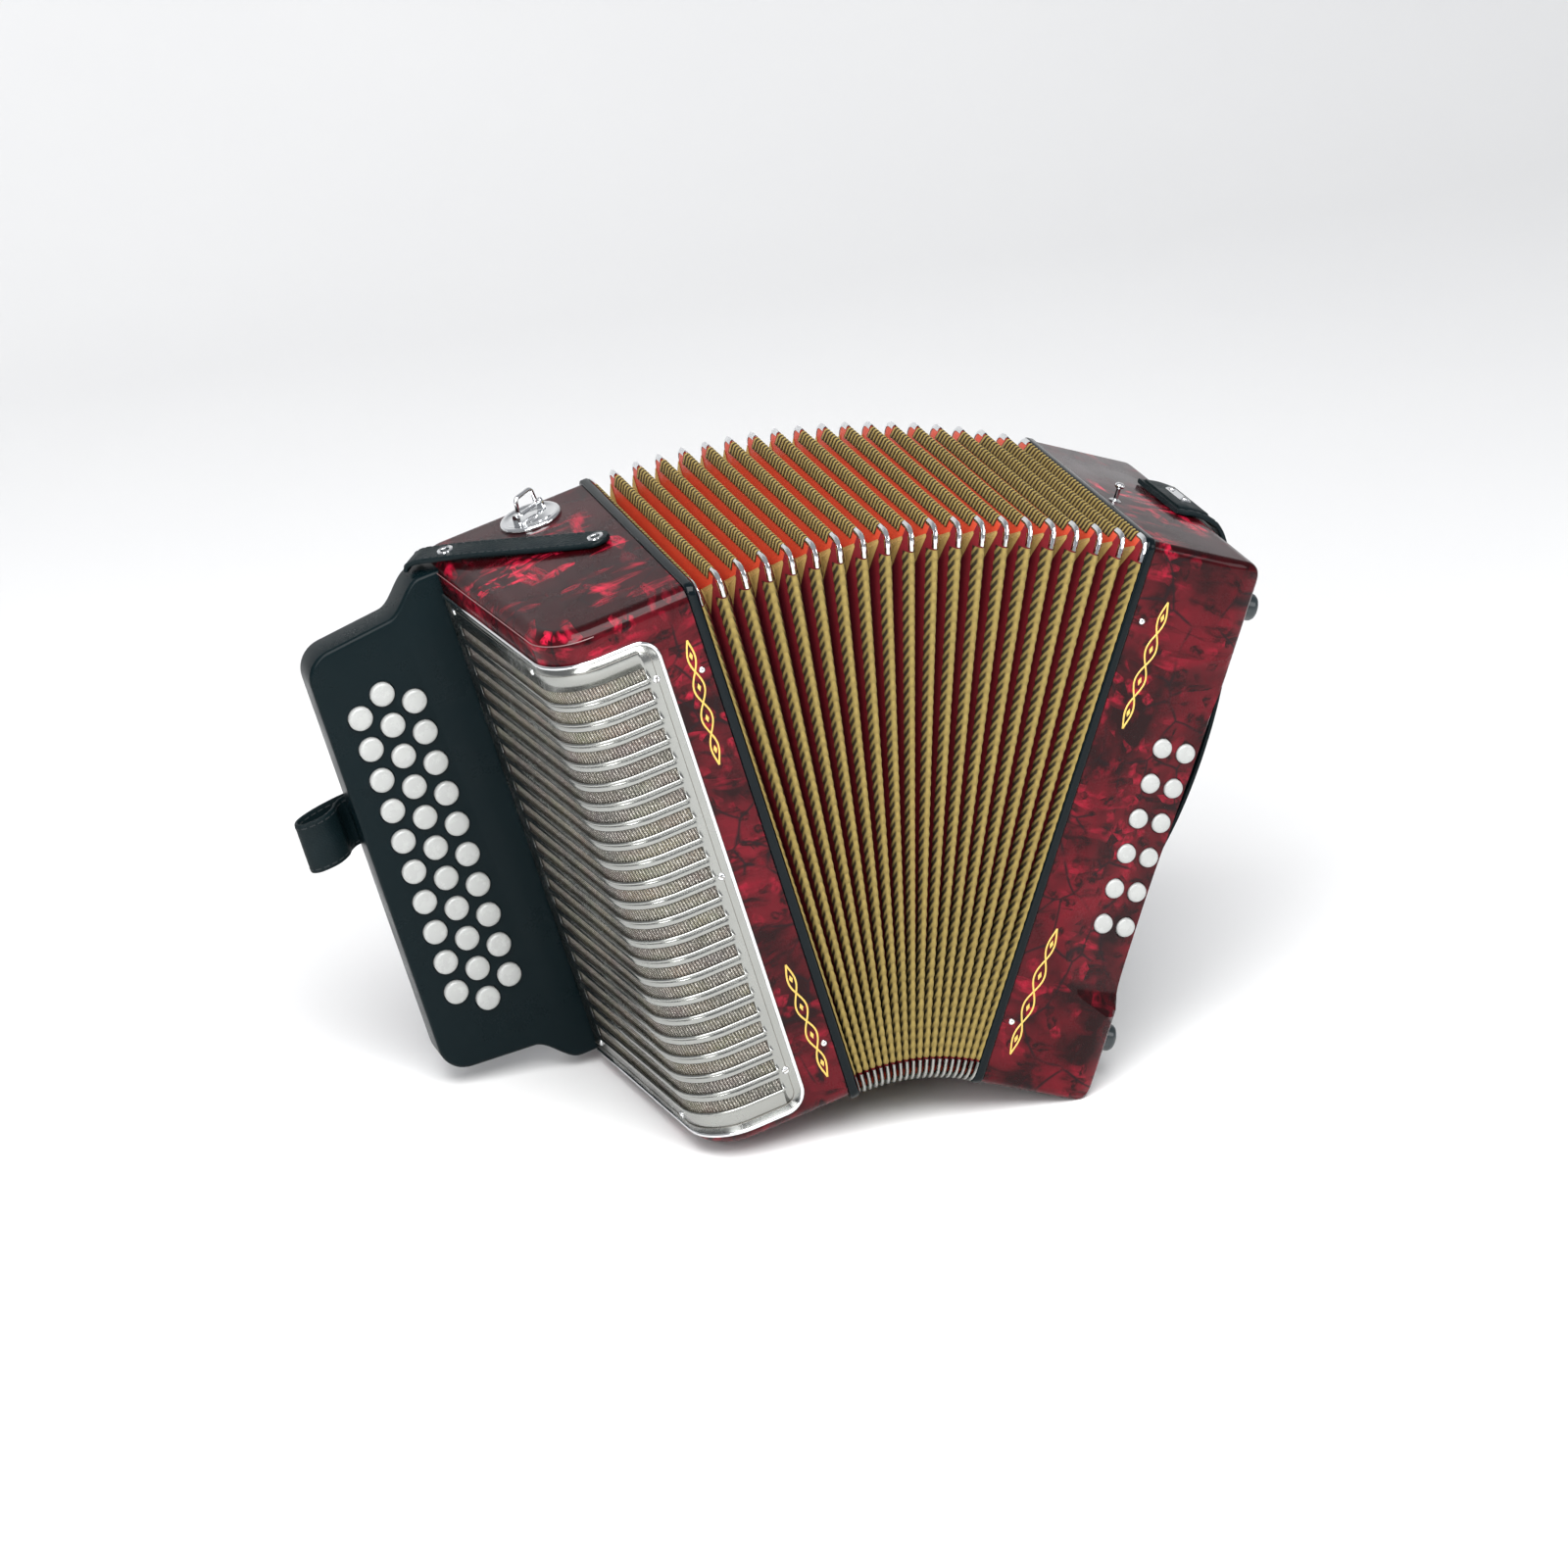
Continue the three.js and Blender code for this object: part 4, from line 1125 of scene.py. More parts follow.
def bass_casing():
    """The pearl-covered casing with its hand recess and a well for each button."""
    rings = [bass_ring(*level) for level in bass_levels()]
    casing = outward(piece("bass_casing_pearl", *loft(rings), BASS, FINISH["pearl"], smooth=13))
    drill(casing, wells(BASS_BUTTONS, BASS, -5, 0.5, WELL_DEPTH_BASS), BASS)
    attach(casing, "bass")
    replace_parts(casing, "bass_casing")


def end_cover():
    """The plate over the bass action, with its screws and the four feet."""
    low, high = COVER_EDGE, HEIGHT - COVER_EDGE
    outline = rounded([(20, low, 5), (DEPTH - 6, low, 5), (DEPTH - 6, high, 5), (20, high, 5)], 6)
    rings = [[(x, y, z) for y, z in outline] for x in (BASS_WIDTH - 2, BASS_WIDTH + 0.5)]
    plate = soften(turned("end_cover_plate", loft(rings), BASS, "cover", "bass"))
    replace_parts(plate, "bass_end_cover")
    out = (1, 0, 0)
    places = [(y, z) for z in (17, HEIGHT / 2, HEIGHT - 17) for y in (27, DEPTH - 12)]
    for i, (y, z) in enumerate(places):
        screw(f"end_cover_screw_{i + 1}", (BASS_WIDTH + 0.4, y, z), out, 2.4, BASS, "bass", 0.5 * i)
    profile = [(0, 0), (7.5, 0), (7.5, 9.8), (7.2, 11.3), (6.4, 12.4), (5.2, 12.9), (0, 13)]
    for i, (y, z) in enumerate([(y, z) for z in (31, 281) for y in (27.5, 168)]):
        shape = lathe(profile, (BASS_WIDTH, y, z), out, 36)
        foot = turned(f"storage_foot_{i + 1}", shape, BASS, "foot", "bass")


def air_valve_button():
    """The button by the player's thumb, in its collar."""
    centre = (BASS_WIDTH, 52, 262)
    out = (1, 0, 0)
    profile = [(7, -6), (7, 4.3), (6.7, 5.3), (6.0, 5.9), (4, 5.7), (0, 5.4)]
    made = turned("air_button_cap", lathe(profile, centre, out, 36), BASS, "chrome", "air_button", 60)
    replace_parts(made, "air_button")
    profile = [(7.5, 0), (9.3, 0), (9.1, 0.9), (8.4, 1.3), (7.5, 1.1), (7.5, 0)]
    collar = turned("air_button_collar", lathe(profile, centre, out, 36), BASS, "chrome", "bass", 60)


def upright_piece(name, shape, finish):
    """A piece of the bass half with its points in the row frame, so that its box is measured upright."""
    points, faces = shape
    moved = [BASS @ (Vector(p) * MM) / MM for p in points]
    return piece(name, moved, faces, Matrix.Identity(4), FINISH[finish], "bass")


def hand_strap():
    """The band over the player's left hand, with its lining, seams, tab and screws."""
    rest = HEIGHT + SKIN_GAP + 1.5
    line = [(44, rest), (48, rest), (58, rest + 0.3), (71, 308), (82, 292), (93, 263), (101, 225)]
    line += [(103.5, 185), (101, 145), (93, 107), (82, 80), (73, 62), (68.6, 50), (67.9, 40), (67.8, 22)]
    across = (0, 1, 0)
    middle_y = HAND_STRAP_FRONT + HAND_STRAP_WIDTH / 2
    spots = smooth_line([(x, middle_y, z) for x, z in line], 98)
    strap = upright_piece("hand_strap_leather", band(spots, across, HAND_STRAP_WIDTH, 2.6), "leather")
    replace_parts(outward(strap), "hand_strap")
    inner = []
    for i in range(20, 84):
        ahead = Vector(spots[i + 1]) - Vector(spots[i - 1])
        inner.append(Vector(spots[i]) - ahead.cross(Vector(across)).normalized() * 1.7)
    lining = upright_piece("hand_strap_lining", band(inner, across, HAND_STRAP_WIDTH - 5, 1.2), "lining")
    outward(lining)
    for side in (-1, 1):
        row = stitches(spots[1:-1], across, side * 26.8, 1.28)
        made = upright_piece(f"hand_strap_seam_{side + 2}", row, "thread")
    tab = smooth_line([(x, middle_y, rest + lift) for x, lift in ((46, 1.7), (54, 2.0), (64, 1.0))], 14)
    shape = band(tab, across, HAND_STRAP_WIDTH - 9, 1.5)
    made = turned("hand_strap_tab", shape, BASS, "leather", "bass")
    top = rest + 2.6
    rings = []
    for inset, lift in ((0, -0.6), (0, 0.5), (0.7, 1.1)):
        ends = [(52 + inset, 97 + inset), (59 - inset, 97 + inset)]
        ends += [(59 - inset, 123 - inset), (52 + inset, 123 - inset)]
        outline = rounded([(*corner, 3.4 - inset) for corner in ends], 6)
        rings.append([(x, y, top + lift) for x, y in outline])
    plate = turned("hand_strap_plate", loft(rings), BASS, "chrome", "bass")
    for i, y in enumerate((100.8, 119.2)):
        screw(f"hand_strap_screw_{i + 1}", (55.5, y, top + 1.0), (0, 0, 1), 2.0, BASS, "bass", i)
    for i, y in enumerate((88, 110, 132)):
        screw(f"hand_strap_end_screw_{i + 1}", (69.0, y, 28), (1, 0, 0), 2.6, BASS, "bass", i)


def strap_post():
    """The knob that the closing strap's eyelet goes over."""
    profile = [(3.4, 0), (3.4, 0.6), (2.2, 1.2), (1.3, 1.6), (1.2, 7.0), (1.7, 7.5), (2.6, 8.1)]
    profile += [(2.7, 9.3), (1.7, 10.3), (0, 10.5)]
    shape = lathe(profile, (6.5, 80, HEIGHT), (0, 0, 1), 28)
    post = turned("strap_post_turned", shape, BASS, "chrome", "bass", 60)
    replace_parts(post, "strap_post")


# ---------------------------------------------------------------- trim
def wave_ornament(name, start, end, home, body):
    """Two gold lines that wind round each other down a front face, with a small lozenge in each loop."""
    start = Vector(start)
    end = Vector(end)
    run = end - start
    side = Vector((run.y, -run.x)).normalized()
    loops = 4
    parts = []
    for sign in (-1, 1):
        line = []
        for k in range(loops * 12 + 1):
            share = k / (loops * 12)
            reach = 3.1 * math.sin(math.pi * (0.14 + 0.72 * share))
            swing = math.sin(math.pi * loops * share) * reach
            spot = start + run * share + side * swing * sign
            line.append((spot.x, -0.1, spot.y))
        parts.append(tube(line, 0.5, 6, flat=0.5, lift=(0, 1, 0.01)))
    for k in range(loops):
        spot = start + run * (k + 0.5) / loops
        along = run.normalized() * 2.4
        across = side * 1.0
        corners = [spot + along, spot + across, spot - along, spot - across]
        rings = [[(c.x, 0.2, c.y) for c in corners], [(c.x, -0.2, c.y) for c in corners]]
        rings.append([((c.x + spot.x) / 2, -0.4, (c.y + spot.y) / 2) for c in corners])
        parts.append(loft(rings))
    made = outward(piece(name, *merge(parts), home, FINISH["gold"], body))


def trim():
    """The gold lines on both fronts, and the pins that hold the bellows frames."""
    wave_ornament("treble_line_upper", (-7.2, 283), (-11.3, 211), TREBLE, "treble")
    wave_ornament("treble_line_lower", (-11.0, 89), (-8.2, 18.5), TREBLE, "treble")
    wave_ornament("bass_line_upper", (16.5, 280), (14.0, 208), BASS, "bass")
    wave_ornament("bass_line_lower", (14.0, 93), (10.5, 19.5), BASS, "bass")
    profile = [(0, -0.5), (1.9, -0.5), (1.9, 0.3), (1.5, 1.0), (0.8, 1.35), (0, 1.45)]
    halves = ((TREBLE, "treble", -4.5, (264.6, 37.8)), (BASS, "bass", 5.2, (267.0, 37.5)))
    for home, body, x, heights in halves:
        for i, (z, y) in enumerate([(z, y) for z in heights for y in (0, DEPTH)]):
            out = (0, -1 if y == 0 else 1, 0)
            shape = lathe(profile, (x, y, z), out, 24)
            pin = turned(f"{body}_pin_{i + 1}", shape, home, "chrome", body)


# ---------------------------------------------------------------- bellows
# The folds fan out from a line below the pivot, their apex.
APEX_DROP = (PIVOT_X - FRAME_THICK - SKIN_GAP) / math.sin(FAN_ANGLE / 2)
APEX = (
    PIVOT_X - APEX_DROP * math.sin(FAN_ANGLE / 2),
    -PIVOT_DROP - APEX_DROP * math.cos(FAN_ANGLE / 2),
)
APEX_RADIUS = -APEX[1]
HALF_FOLD = FAN_ANGLE / FOLDS / 2
PEAK_CORNER = 6.5
PEAK_ROUND = 0.8
VALLEY_END = 15.3


def fan_point(angle, y, reach, off):
    """A place in the bellows, in the treble half's frame: off is the distance past the plane at an angle."""
    x = APEX[0] + reach * math.sin(angle) + off * math.cos(angle)
    return (x, y, APEX[1] + reach * math.cos(angle) - off * math.sin(angle))


def leg_offset(inset, reach):
    """How far a fold's leg stands off the fold's own plane, at an inset from the peak."""
    share = min(inset / FOLD_DEPTH, 1.02)
    bulge = min(PEAK_ROUND, 0.5 * HALF_FOLD * reach) * (1 - min(share, 1)) * math.sqrt(min(1, max(inset, 0)))
    return HALF_FOLD * reach * share + bulge


def fold_corners(inset):
    """The four rounded corners of a fold at an inset from its peak, each a list of (y, reach)."""
    radius = max(PEAK_CORNER - inset, 0.8)
    low = APEX_RADIUS + inset
    high = APEX_RADIUS + HEIGHT - inset
    near = inset
    far = DEPTH - inset
    arcs = rounded([(near, low, radius), (far, low, radius), (far, high, radius), (near, high, radius)], 4)
    return [arcs[5 * k : 5 * k + 5] for k in range(4)]


def fold_outline(inset):
    """A fold's outline with its straight sides divided; sides are 0 bottom, 1 back, 2 top and 3 front."""
    corners = fold_corners(inset)
    points = []
    sides = []
    for k in range(4):
        points += corners[k]
        sides += [k] * 5
        start = np.array(corners[k][-1])
        end = np.array(corners[(k + 1) % 4][0])
        count = 5 if k % 2 == 0 else 11
        for i in range(1, count + 1):
            points.append(tuple(start + (end - start) * i / (count + 1)))
            sides.append(k)
    return points, sides


def past_corner(inset, k, reach):
    """The line round corner k of a fold, reaching along the side on either hand of it."""
    arc = fold_corners(inset)[k]
    before = ((0, 1), (-1, 0), (0, -1), (1, 0))[k]
    after = ((1, 0), (0, 1), (-1, 0), (0, -1))[k]
    line = [(arc[0][0] + before[0] * reach * s, arc[0][1] + before[1] * reach * s) for s in (1, 0.66, 0.33)]
    line += arc
    line += [(arc[-1][0] + after[0] * reach * s, arc[-1][1] + after[1] * reach * s) for s in (0.33, 0.66, 1)]
    return line


def spread(thing, share):
    """Bakes a bellows piece's place into its mesh; it follows neither half. share, its place in the fan from
    0 to 1, is not used.
    """
    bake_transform(thing)


def fold_sides(i):
    """The legs that a fold has: the outermost two have only one."""
    if i == 0:
        return (1,)
    if i == FOLDS:
        return (-1,)
    return (-1, 1)


def signed(insets, i):
    """Insets across a fold, negative on its treble leg, with the peak once."""
    sides = fold_sides(i)
    low = [-q for q in reversed(insets) if q > 0] if -1 in sides else []
    high = [q for q in insets if q > 0] if 1 in sides else []
    return low + [0] + high


def on_fold(i, y, reach, inset, lift):
    """A place on a fold's surface, lifted off it; inset is signed as above."""
    side = -1 if inset < 0 else 1
    off = side * (leg_offset(abs(inset), reach) + lift * min(1, abs(inset)))
    return fan_point(FAN_ANGLE * i / FOLDS, y, reach, off)


def card(i):
    """The pleated card of fold i, orange on top and below and maroon in front and behind."""
    insets = signed([0, 0.5, 1.2, 3, 6, 9, 12, VALLEY_END], i)
    points = []
    uvs = []
    for q in insets:
        outline, sides = fold_outline(abs(q))
        points += [on_fold(i, y, reach, q, 0) for y, reach in outline]
        uvs += [(k * 5.0, q) for k in range(len(outline))]
    faces = grid_faces(len(insets), len(sides), around=True)
    materials = [FINISH["card_top"], FINISH["card_front"]]
    made = piece(f"fold_card_{i:02d}", points, faces, TREBLE, materials, smooth=50, uvs=uvs)
    index = [k % 2 for k in sides] * (len(insets) - 1)
    made.data.polygons.foreach_set("material_index", index)
    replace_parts(outward(made), "bellows")
    spread(made, i / FOLDS)


def tape_strip(i, side, sizes):
    """The ribbed tape over one side of a fold's peak: points, faces and cloth map."""
    upright = side % 2 == 1
    pitch = (sizes.front_rib if upright else sizes.top_rib) / MM
    slant = TAPE_SLANT if upright else 0.0
    first, last = (13, HEIGHT - 13) if upright else (13, DEPTH - 13)
    reach_in = sizes.tape_reach / MM * (1.15 if upright else 1)
    insets = signed([0, 0.7, 1.8, 3.4, reach_in - 0.3, reach_in], i)
    ribs = round((last - first) / pitch)
    rows = ribs * 5
    points = []
    uvs = []
    for r in range(rows + 1):
        place_along = first + (last - first) * r / rows
        for q in insets:
            run = r / 5 + slant * abs(q)
            rib = math.sin(math.pi * (run % 1)) ** 2
            edge = 0.0 if abs(q) == reach_in else 1.0
            lift = (0.3 + 0.42 * rib) * edge
            sunk = abs(q) - (lift if abs(q) < 1 else 0)
            y = (sunk if side == 3 else DEPTH - sunk) if upright else place_along
            if upright:
                reach = APEX_RADIUS + place_along
            else:
                reach = APEX_RADIUS + (HEIGHT - sunk if side == 2 else sunk)
            points.append(on_fold(i, y, reach, q, lift))
            uvs.append((r / 5, q))
    return points, grid_faces(rows + 1, len(insets)), uvs


def tape(i, sizes):
    """The tapes over all four sides of peak i, as one piece."""
    strips = [tape_strip(i, side, sizes) for side in range(4)]
    points, faces = merge([(points, faces) for points, faces, _ in strips])
    uvs = [uv for strip in strips for uv in strip[2]]
    index = [side % 2 for side, strip in enumerate(strips) for _ in strip[1]]
    materials = [FINISH["tape_top"], FINISH["tape_front"]]
    made = piece(f"fold_tape_{i:02d}", points, faces, TREBLE, materials, smooth=None, uvs=uvs)
    made.data.polygons.foreach_set("material_index", index)
    spread(made, i / FOLDS)


def corner_caps(i, sizes):
    """Bright metal caps over the upper corners of a peak, and pale ones over the lower."""
    insets = signed([0, 0.4, 0.8, 1.15, 1.5], i)
    caps = []
    for k in range(4):
        points = []
        for q in insets:
            sunk = abs(q) - 1.1 * math.cos(math.pi / 2 * abs(q) / 1.5)
            line = past_corner(sunk, k, sizes.corner_reach / MM)
            points += [on_fold(i, y, reach, q, 0.32) for y, reach in line]
        caps.append((points, grid_faces(len(insets), len(line))))
    index = [k // 2 for k, cap in enumerate(caps) for _ in cap[1]]
    materials = [FINISH["nickel"], FINISH["chrome"]]
    made = piece(f"fold_corner_{i:02d}", *merge(caps), TREBLE, materials, smooth=60)
    made.data.polygons.foreach_set("material_index", index)
    spread(made, i / FOLDS)


def gussets(i):
    """The soft leather diamonds between peak i and the next, at the four corners of the valley."""
    steps = [-1, -0.75, -0.5, -0.25, 0, 0.25, 0.5, 0.75, 1]
    diamonds = []
    for k in range(4):
        points = []
        for u in steps:
            depth = VALLEY_END - 9.5 * abs(u)
            fold, side = (i, 1) if u < 0 else (i + 1, -1)
            line = past_corner(depth, k, 0.6 + 10 * (1 - abs(u)))
            for n, (y, reach) in enumerate(line):
                fullness = (1 - abs(u)) * (1 - abs(2 * n / (len(line) - 1) - 1))
                pull = 5.0 * fullness * math.sqrt(0.5)
                y += pull if k in (1, 2) else -pull
                reach += pull if k > 1 else -pull
                points.append(on_fold(fold, y, reach, side * depth, 0.35))
        diamonds.append((points, grid_faces(len(steps), len(line))))
    made = piece(f"gusset_{i:02d}", *merge(diamonds), TREBLE, FINISH["gusset"], smooth=60)
    spread(made, (i + 0.5) / FOLDS)


# ---------------------------------------------------------------- stage
def backdrop():
    """A pale sweep: floor, curve and wall."""
    profile = [(-3.0, 0.0), (1.4, 0.0)]
    profile += [(1.4 + math.sin(a), 1 - math.cos(a)) for a in (math.pi / 2 * k / 16 for k in range(1, 17))]
    profile.append((2.4, 4.5))
    points = [(x / MM, y / MM, z / MM) for y, z in profile for x in (-4, 4)]
    faces = grid_faces(len(profile), 2)
    material, tree, shader = finish_of("pale_sweep", Roughness=0.75)
    paper = blended(tree, noise(tree, place(tree), 3.0), (0.80, 0.80, 0.80), (0.83, 0.83, 0.825))
    tree.links.new(paper, shader.inputs["Base Color"])
    behind = node(tree, "NewGeometry").outputs["Backfacing"]  # clear for a camera behind the wall
    tree.links.new(maths(tree, "SUBTRACT", 1.0, behind), shader.inputs["Alpha"])
    sweep = piece("backdrop", points, faces, Matrix.Identity(4), material, smooth=60)


def soft_light(name, spot, aim, size, power):
    """A rectangular light that looks at a place."""
    data = bpy.data.lights.new(name, "AREA")
    data.shape = "RECTANGLE"
    data.size, data.size_y = size
    data.energy = power
    lamp = bpy.data.objects.new(name, data)
    bpy.context.scene.collection.objects.link(lamp)
    lamp.location = spot
    lamp.rotation_euler = (Vector(aim) - Vector(spot)).to_track_quat("-Z", "Y").to_euler()


def lights():
    """Three soft lights and a pale sky."""
    aim = (0, 0, 0.16)
    soft_light("overhead", (-0.3, -1.1, 1.8), aim, (2.0, 1.5), 78)
    soft_light("key", (-1.6, -1.9, 1.2), aim, (0.9, 0.9), 28)
    soft_light("fill", (1.9, -1.6, 1.0), aim, (1.2, 1.0), 12)
    world = bpy.data.worlds.new("studio")
    world.use_nodes = True
    background = world.node_tree.nodes["Background"]
    background.inputs["Color"].default_value = (0.93, 0.95, 1.0, 1)
    background.inputs["Strength"].default_value = 0.42
    bpy.context.scene.world = world
    bpy.context.scene.view_settings.view_transform = "Standard"


def camera(view):
    """The camera on its ray from the aim."""
    data = bpy.data.cameras.new("camera")
    data.lens = view.lens
    data.clip_end = 20
    eye = bpy.data.objects.new("camera", data)
    bpy.context.scene.collection.objects.link(eye)
    level = math.cos(view.rise)
    back = Vector((math.sin(view.swing) * level, -math.cos(view.swing) * level, math.sin(view.rise)))
    turn = (-back).to_track_quat("-Z", "Y").to_matrix().to_4x4()
    spot = Matrix.Translation(Vector(view.aim) + back * view.distance)
    eye.matrix_world = spot @ turn @ Matrix.Rotation(view.roll, 4, "Z")
    bpy.context.scene.camera = eye


# ---------------------------------------------------------------- settings
class AccordionSizes(bpy.types.PropertyGroup):
    """Sizes of the trim and the bellows that may be changed without changing the frame."""

    tape_reach: bpy.props.FloatProperty(
        name="Tape reach",
        description="How far the tape comes down each leg of a fold",
        default=0.0053,
        unit="LENGTH",
    )
    top_rib: bpy.props.FloatProperty(
        name="Top rib",
        description="Distance between ribs of the tape on top",
        default=0.0043,
        unit="LENGTH",
    )
    front_rib: bpy.props.FloatProperty(
        name="Front rib",
        description="Distance between ribs of the tape in front",
        default=0.0057,
        unit="LENGTH",
    )
    corner_reach: bpy.props.FloatProperty(
        name="Corner reach",
        description="How far a metal corner runs along each side",
        default=0.0055,
        unit="LENGTH",
    )


class AccordionColours(bpy.types.PropertyGroup):
    """The main colours."""

    pearl: bpy.props.FloatVectorProperty(
        name="Pearl",
        description="Red of the casings",
        subtype="COLOR",
        size=3,
        default=(0.100, 0.0028, 0.0075),
    )
    lacquer: bpy.props.FloatVectorProperty(
        name="Lacquer",
        description="Fingerboard",
        subtype="COLOR",
        size=3,
        default=(0.0024, 0.0074, 0.0092),
    )
    tape: bpy.props.FloatVectorProperty(
        name="Tape", description="Bellows tape", subtype="COLOR", size=3, default=(0.41, 0.30, 0.085)
    )
    card_top: bpy.props.FloatVectorProperty(
        name="Card, top",
        description="Bellows card on top",
        subtype="COLOR",
        size=3,
        default=(0.52, 0.060, 0.026),
    )
    card_front: bpy.props.FloatVectorProperty(
        name="Card, front",
        description="Bellows card in front",
        subtype="COLOR",
        size=3,
        default=(0.16, 0.012, 0.018),
    )
    leather: bpy.props.FloatVectorProperty(
        name="Leather", description="Straps", subtype="COLOR", size=3, default=(0.0035, 0.0095, 0.0115)
    )


class AccordionView(bpy.types.PropertyGroup):
    """Where the camera stands."""

    aim: bpy.props.FloatVectorProperty(
        name="Aim",
        description="What it points at",
        subtype="XYZ",
        unit="LENGTH",
        size=3,
        default=(0.0158, 0.0550, 0.1492),
    )
    distance: bpy.props.FloatProperty(
        name="Distance", description="From the aim", default=3.857, unit="LENGTH"
    )
    swing: bpy.props.FloatProperty(
        name="Swing", description="Round the object", default=math.radians(-17.14), subtype="ANGLE"
    )
    rise: bpy.props.FloatProperty(
        name="Rise", description="Above the horizon", default=math.radians(20.98), subtype="ANGLE"
    )
    roll: bpy.props.FloatProperty(
        name="Roll", description="Tilt of the frame", default=math.radians(-3.0), subtype="ANGLE"
    )
    lens: bpy.props.FloatProperty(
        name="Lens", description="Focal length in millimetres", default=162.2
    )


# ---------------------------------------------------------------- operators
class ACCORDION_OT_finishes(bpy.types.Operator):
    """Make every material"""

    bl_idname = "accordion.finishes"
    bl_label = "Finishes"

    def execute(self, context):
        FINISH.update(finishes(context.scene.accordion_colours))
        return {"FINISHED"}


class ACCORDION_OT_treble(bpy.types.Operator):
    """Build the treble casing"""

    bl_idname = "accordion.treble"
    bl_label = "Treble casing"

    def execute(self, context):
        treble_casing()
        return {"FINISHED"}


class ACCORDION_OT_grille(bpy.types.Operator):
    """Build the melody grille, its cloth and screws"""

    bl_idname = "accordion.grille"
    bl_label = "Melody grille"

    def execute(self, context):
        melody_grille()
        return {"FINISHED"}


class ACCORDION_OT_fingerboard(bpy.types.Operator):
    """Build the fingerboard with a well for each button"""

    bl_idname = "accordion.fingerboard"
    bl_label = "Fingerboard"

    def execute(self, context):
        fingerboard()
        return {"FINISHED"}


class ACCORDION_OT_buttons(bpy.types.Operator):
    """Build every melody and bass button"""

    bl_idname = "accordion.buttons"
    bl_label = "Buttons"

    def execute(self, context):
        for name in MELODY_BUTTONS + BASS_BUTTONS:
            round_button(name)
        return {"FINISHED"}


class ACCORDION_OT_treble_straps(bpy.types.Operator):
    """Build the closing strap, the thumb strap and the shoulder strap bracket"""

    bl_idname = "accordion.treble_straps"
    bl_label = "Treble straps"

    def execute(self, context):
        closing_strap()
        thumb_strap()
        strap_bracket()
        return {"FINISHED"}


class ACCORDION_OT_frames(bpy.types.Operator):
    """Build both bellows frames"""

    bl_idname = "accordion.frames"
    bl_label = "Bellows frames"

    def execute(self, context):
        bellows_frame("treble_frame_lacquered", "treble_bellows_frame", SKIN_GAP, TREBLE, "treble")
        bellows_frame("bass_frame_lacquered", "bass_bellows_frame", -FRAME_THICK, BASS, "bass")
        return {"FINISHED"}


class ACCORDION_OT_bellows(bpy.types.Operator):
    """Build the folds of the bellows with their tapes, corners and gussets"""

    bl_idname = "accordion.bellows"
    bl_label = "Bellows"

    def execute(self, context):
        sizes = context.scene.accordion_sizes
        for i in range(FOLDS + 1):
            card(i)
            tape(i, sizes)
            corner_caps(i, sizes)
        for i in range(FOLDS):
            gussets(i)
        return {"FINISHED"}


class ACCORDION_OT_bass(bpy.types.Operator):
    """Build the bass casing with its hand recess, the end cover and the feet"""

    bl_idname = "accordion.bass"
    bl_label = "Bass casing"

    def execute(self, context):
        bass_casing()
        end_cover()
        return {"FINISHED"}


class ACCORDION_OT_bass_fittings(bpy.types.Operator):
    """Build the hand strap, the air button and the strap post"""

    bl_idname = "accordion.bass_fittings"
    bl_label = "Bass fittings"

    def execute(self, context):
        hand_strap()
        air_valve_button()
        strap_post()
        return {"FINISHED"}


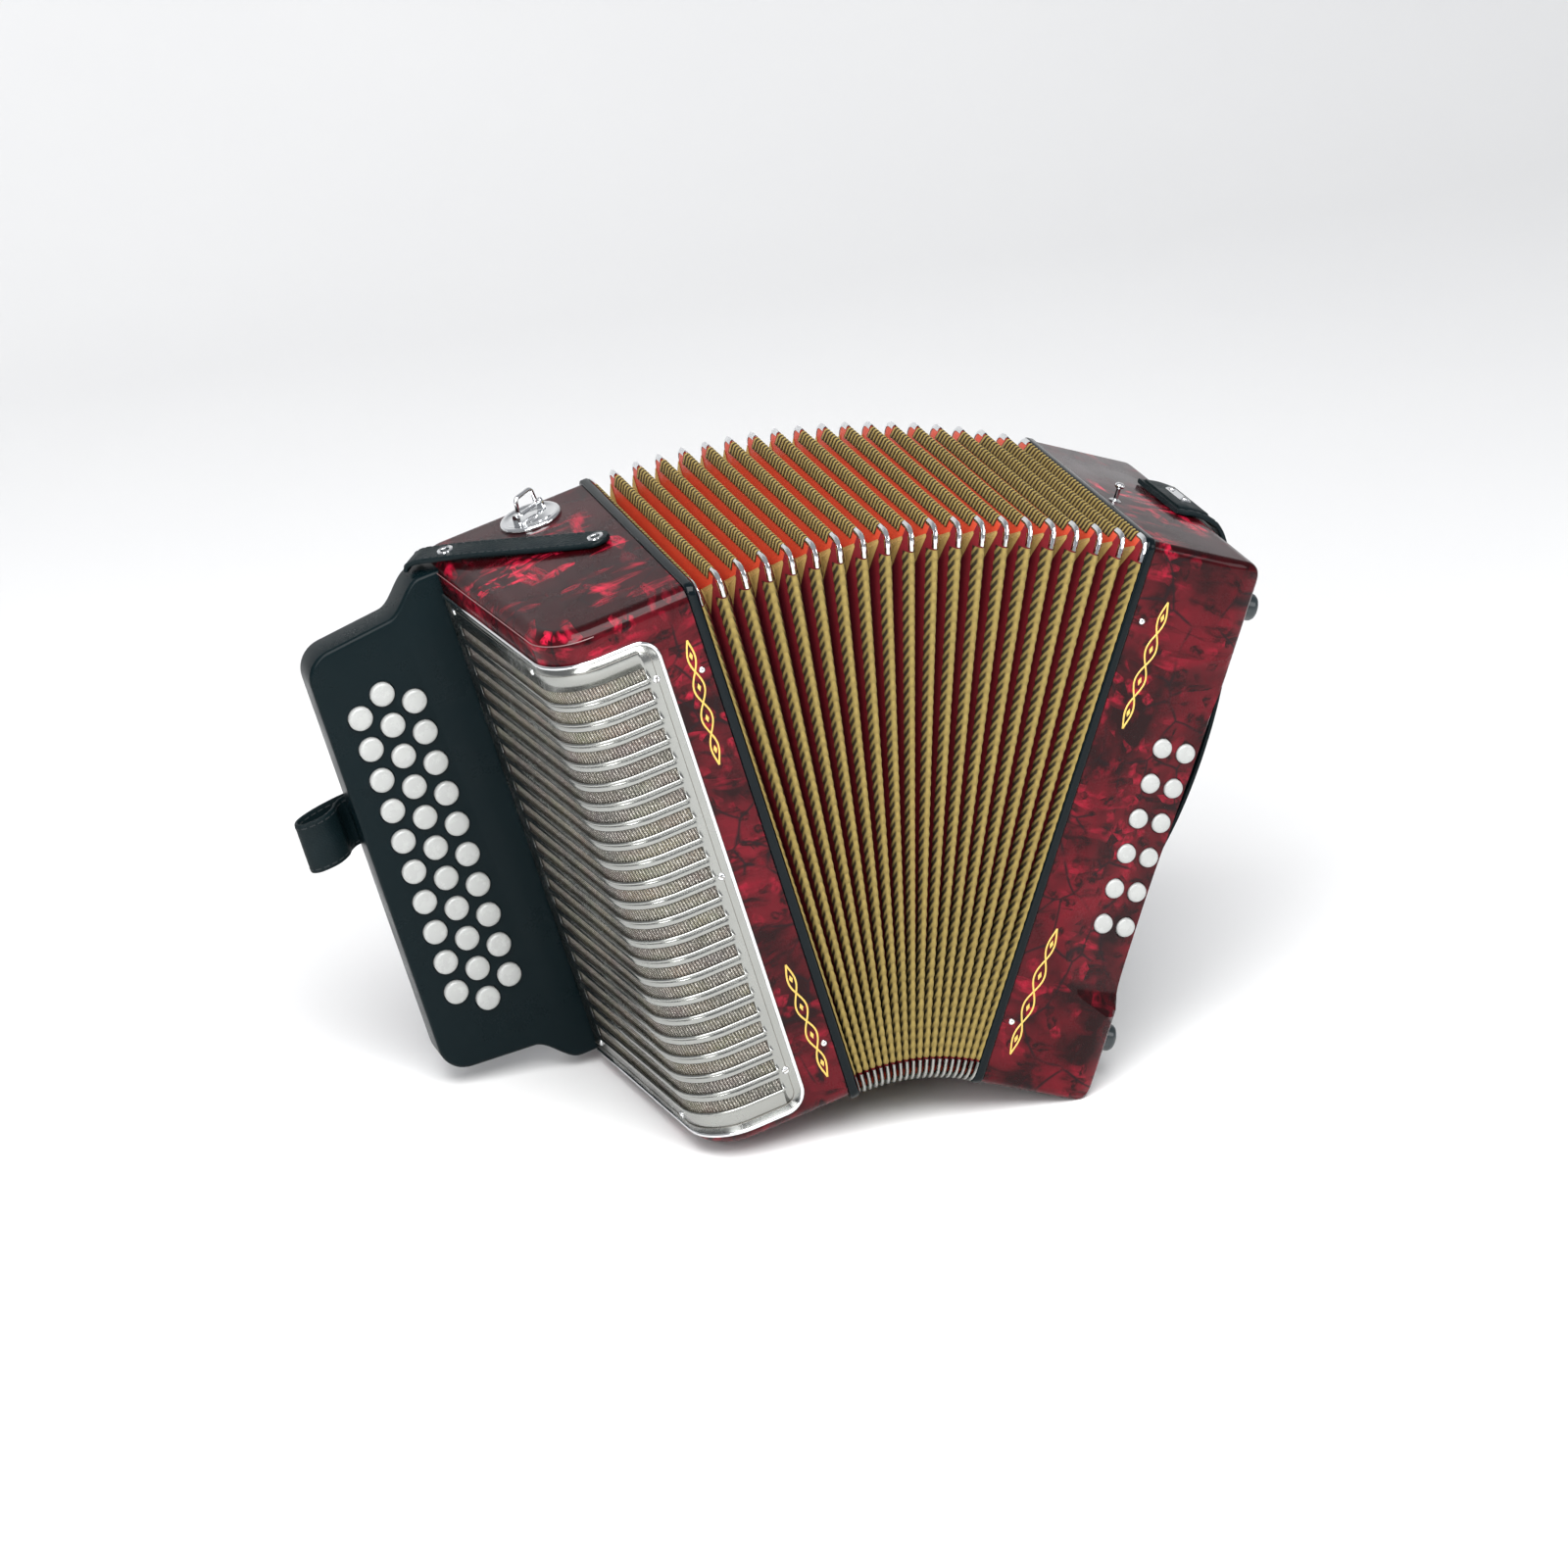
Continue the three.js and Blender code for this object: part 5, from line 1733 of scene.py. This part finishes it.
class ACCORDION_OT_trim(bpy.types.Operator):
    """Build the gold lines and pins, and finish the reed blocks"""

    bl_idname = "accordion.trim"
    bl_label = "Trim"

    def execute(self, context):
        trim()
        for name in ("treble_reed_block", "bass_reed_block"):
            for slot in frame["nodes"][name].material_slots:
                slot.material = FINISH["wood"]
        return {"FINISHED"}


class ACCORDION_OT_stage(bpy.types.Operator):
    """Set up the backdrop, the lights and the camera"""

    bl_idname = "accordion.stage"
    bl_label = "Stage"

    def execute(self, context):
        backdrop()
        lights()
        camera(context.scene.accordion_view)
        return {"FINISHED"}


STEPS = (
    ACCORDION_OT_finishes,
    ACCORDION_OT_treble,
    ACCORDION_OT_grille,
    ACCORDION_OT_fingerboard,
    ACCORDION_OT_buttons,
    ACCORDION_OT_treble_straps,
    ACCORDION_OT_frames,
    ACCORDION_OT_bellows,
    ACCORDION_OT_bass,
    ACCORDION_OT_bass_fittings,
    ACCORDION_OT_trim,
    ACCORDION_OT_stage,
)


class ACCORDION_PT_build(bpy.types.Panel):
    """Builds the instrument step by step"""

    bl_idname = "ACCORDION_PT_build"
    bl_label = "Button accordion"
    bl_space_type = "VIEW_3D"
    bl_region_type = "UI"
    bl_category = "Accordion"

    def draw(self, context):
        scene = context.scene
        for group in (scene.accordion_sizes, scene.accordion_colours, scene.accordion_view):
            for name in group.bl_rna.properties.keys():
                if name not in ("rna_type", "name"):
                    self.layout.prop(group, name)
        for step in STEPS:
            self.layout.operator(step.bl_idname)


CLASSES = (AccordionSizes, AccordionColours, AccordionView, *STEPS, ACCORDION_PT_build)


def register():
    for one in CLASSES:
        bpy.utils.register_class(one)
    bpy.types.Scene.accordion_sizes = bpy.props.PointerProperty(type=AccordionSizes)
    bpy.types.Scene.accordion_colours = bpy.props.PointerProperty(type=AccordionColours)
    bpy.types.Scene.accordion_view = bpy.props.PointerProperty(type=AccordionView)


def unregister():
    del bpy.types.Scene.accordion_view
    del bpy.types.Scene.accordion_colours
    del bpy.types.Scene.accordion_sizes
    for one in reversed(CLASSES):
        bpy.utils.unregister_class(one)


def main():
    register()
    for step in STEPS:
        getattr(bpy.ops.accordion, step.bl_idname.split(".")[1])()


if __name__ == "__main__":
    main()
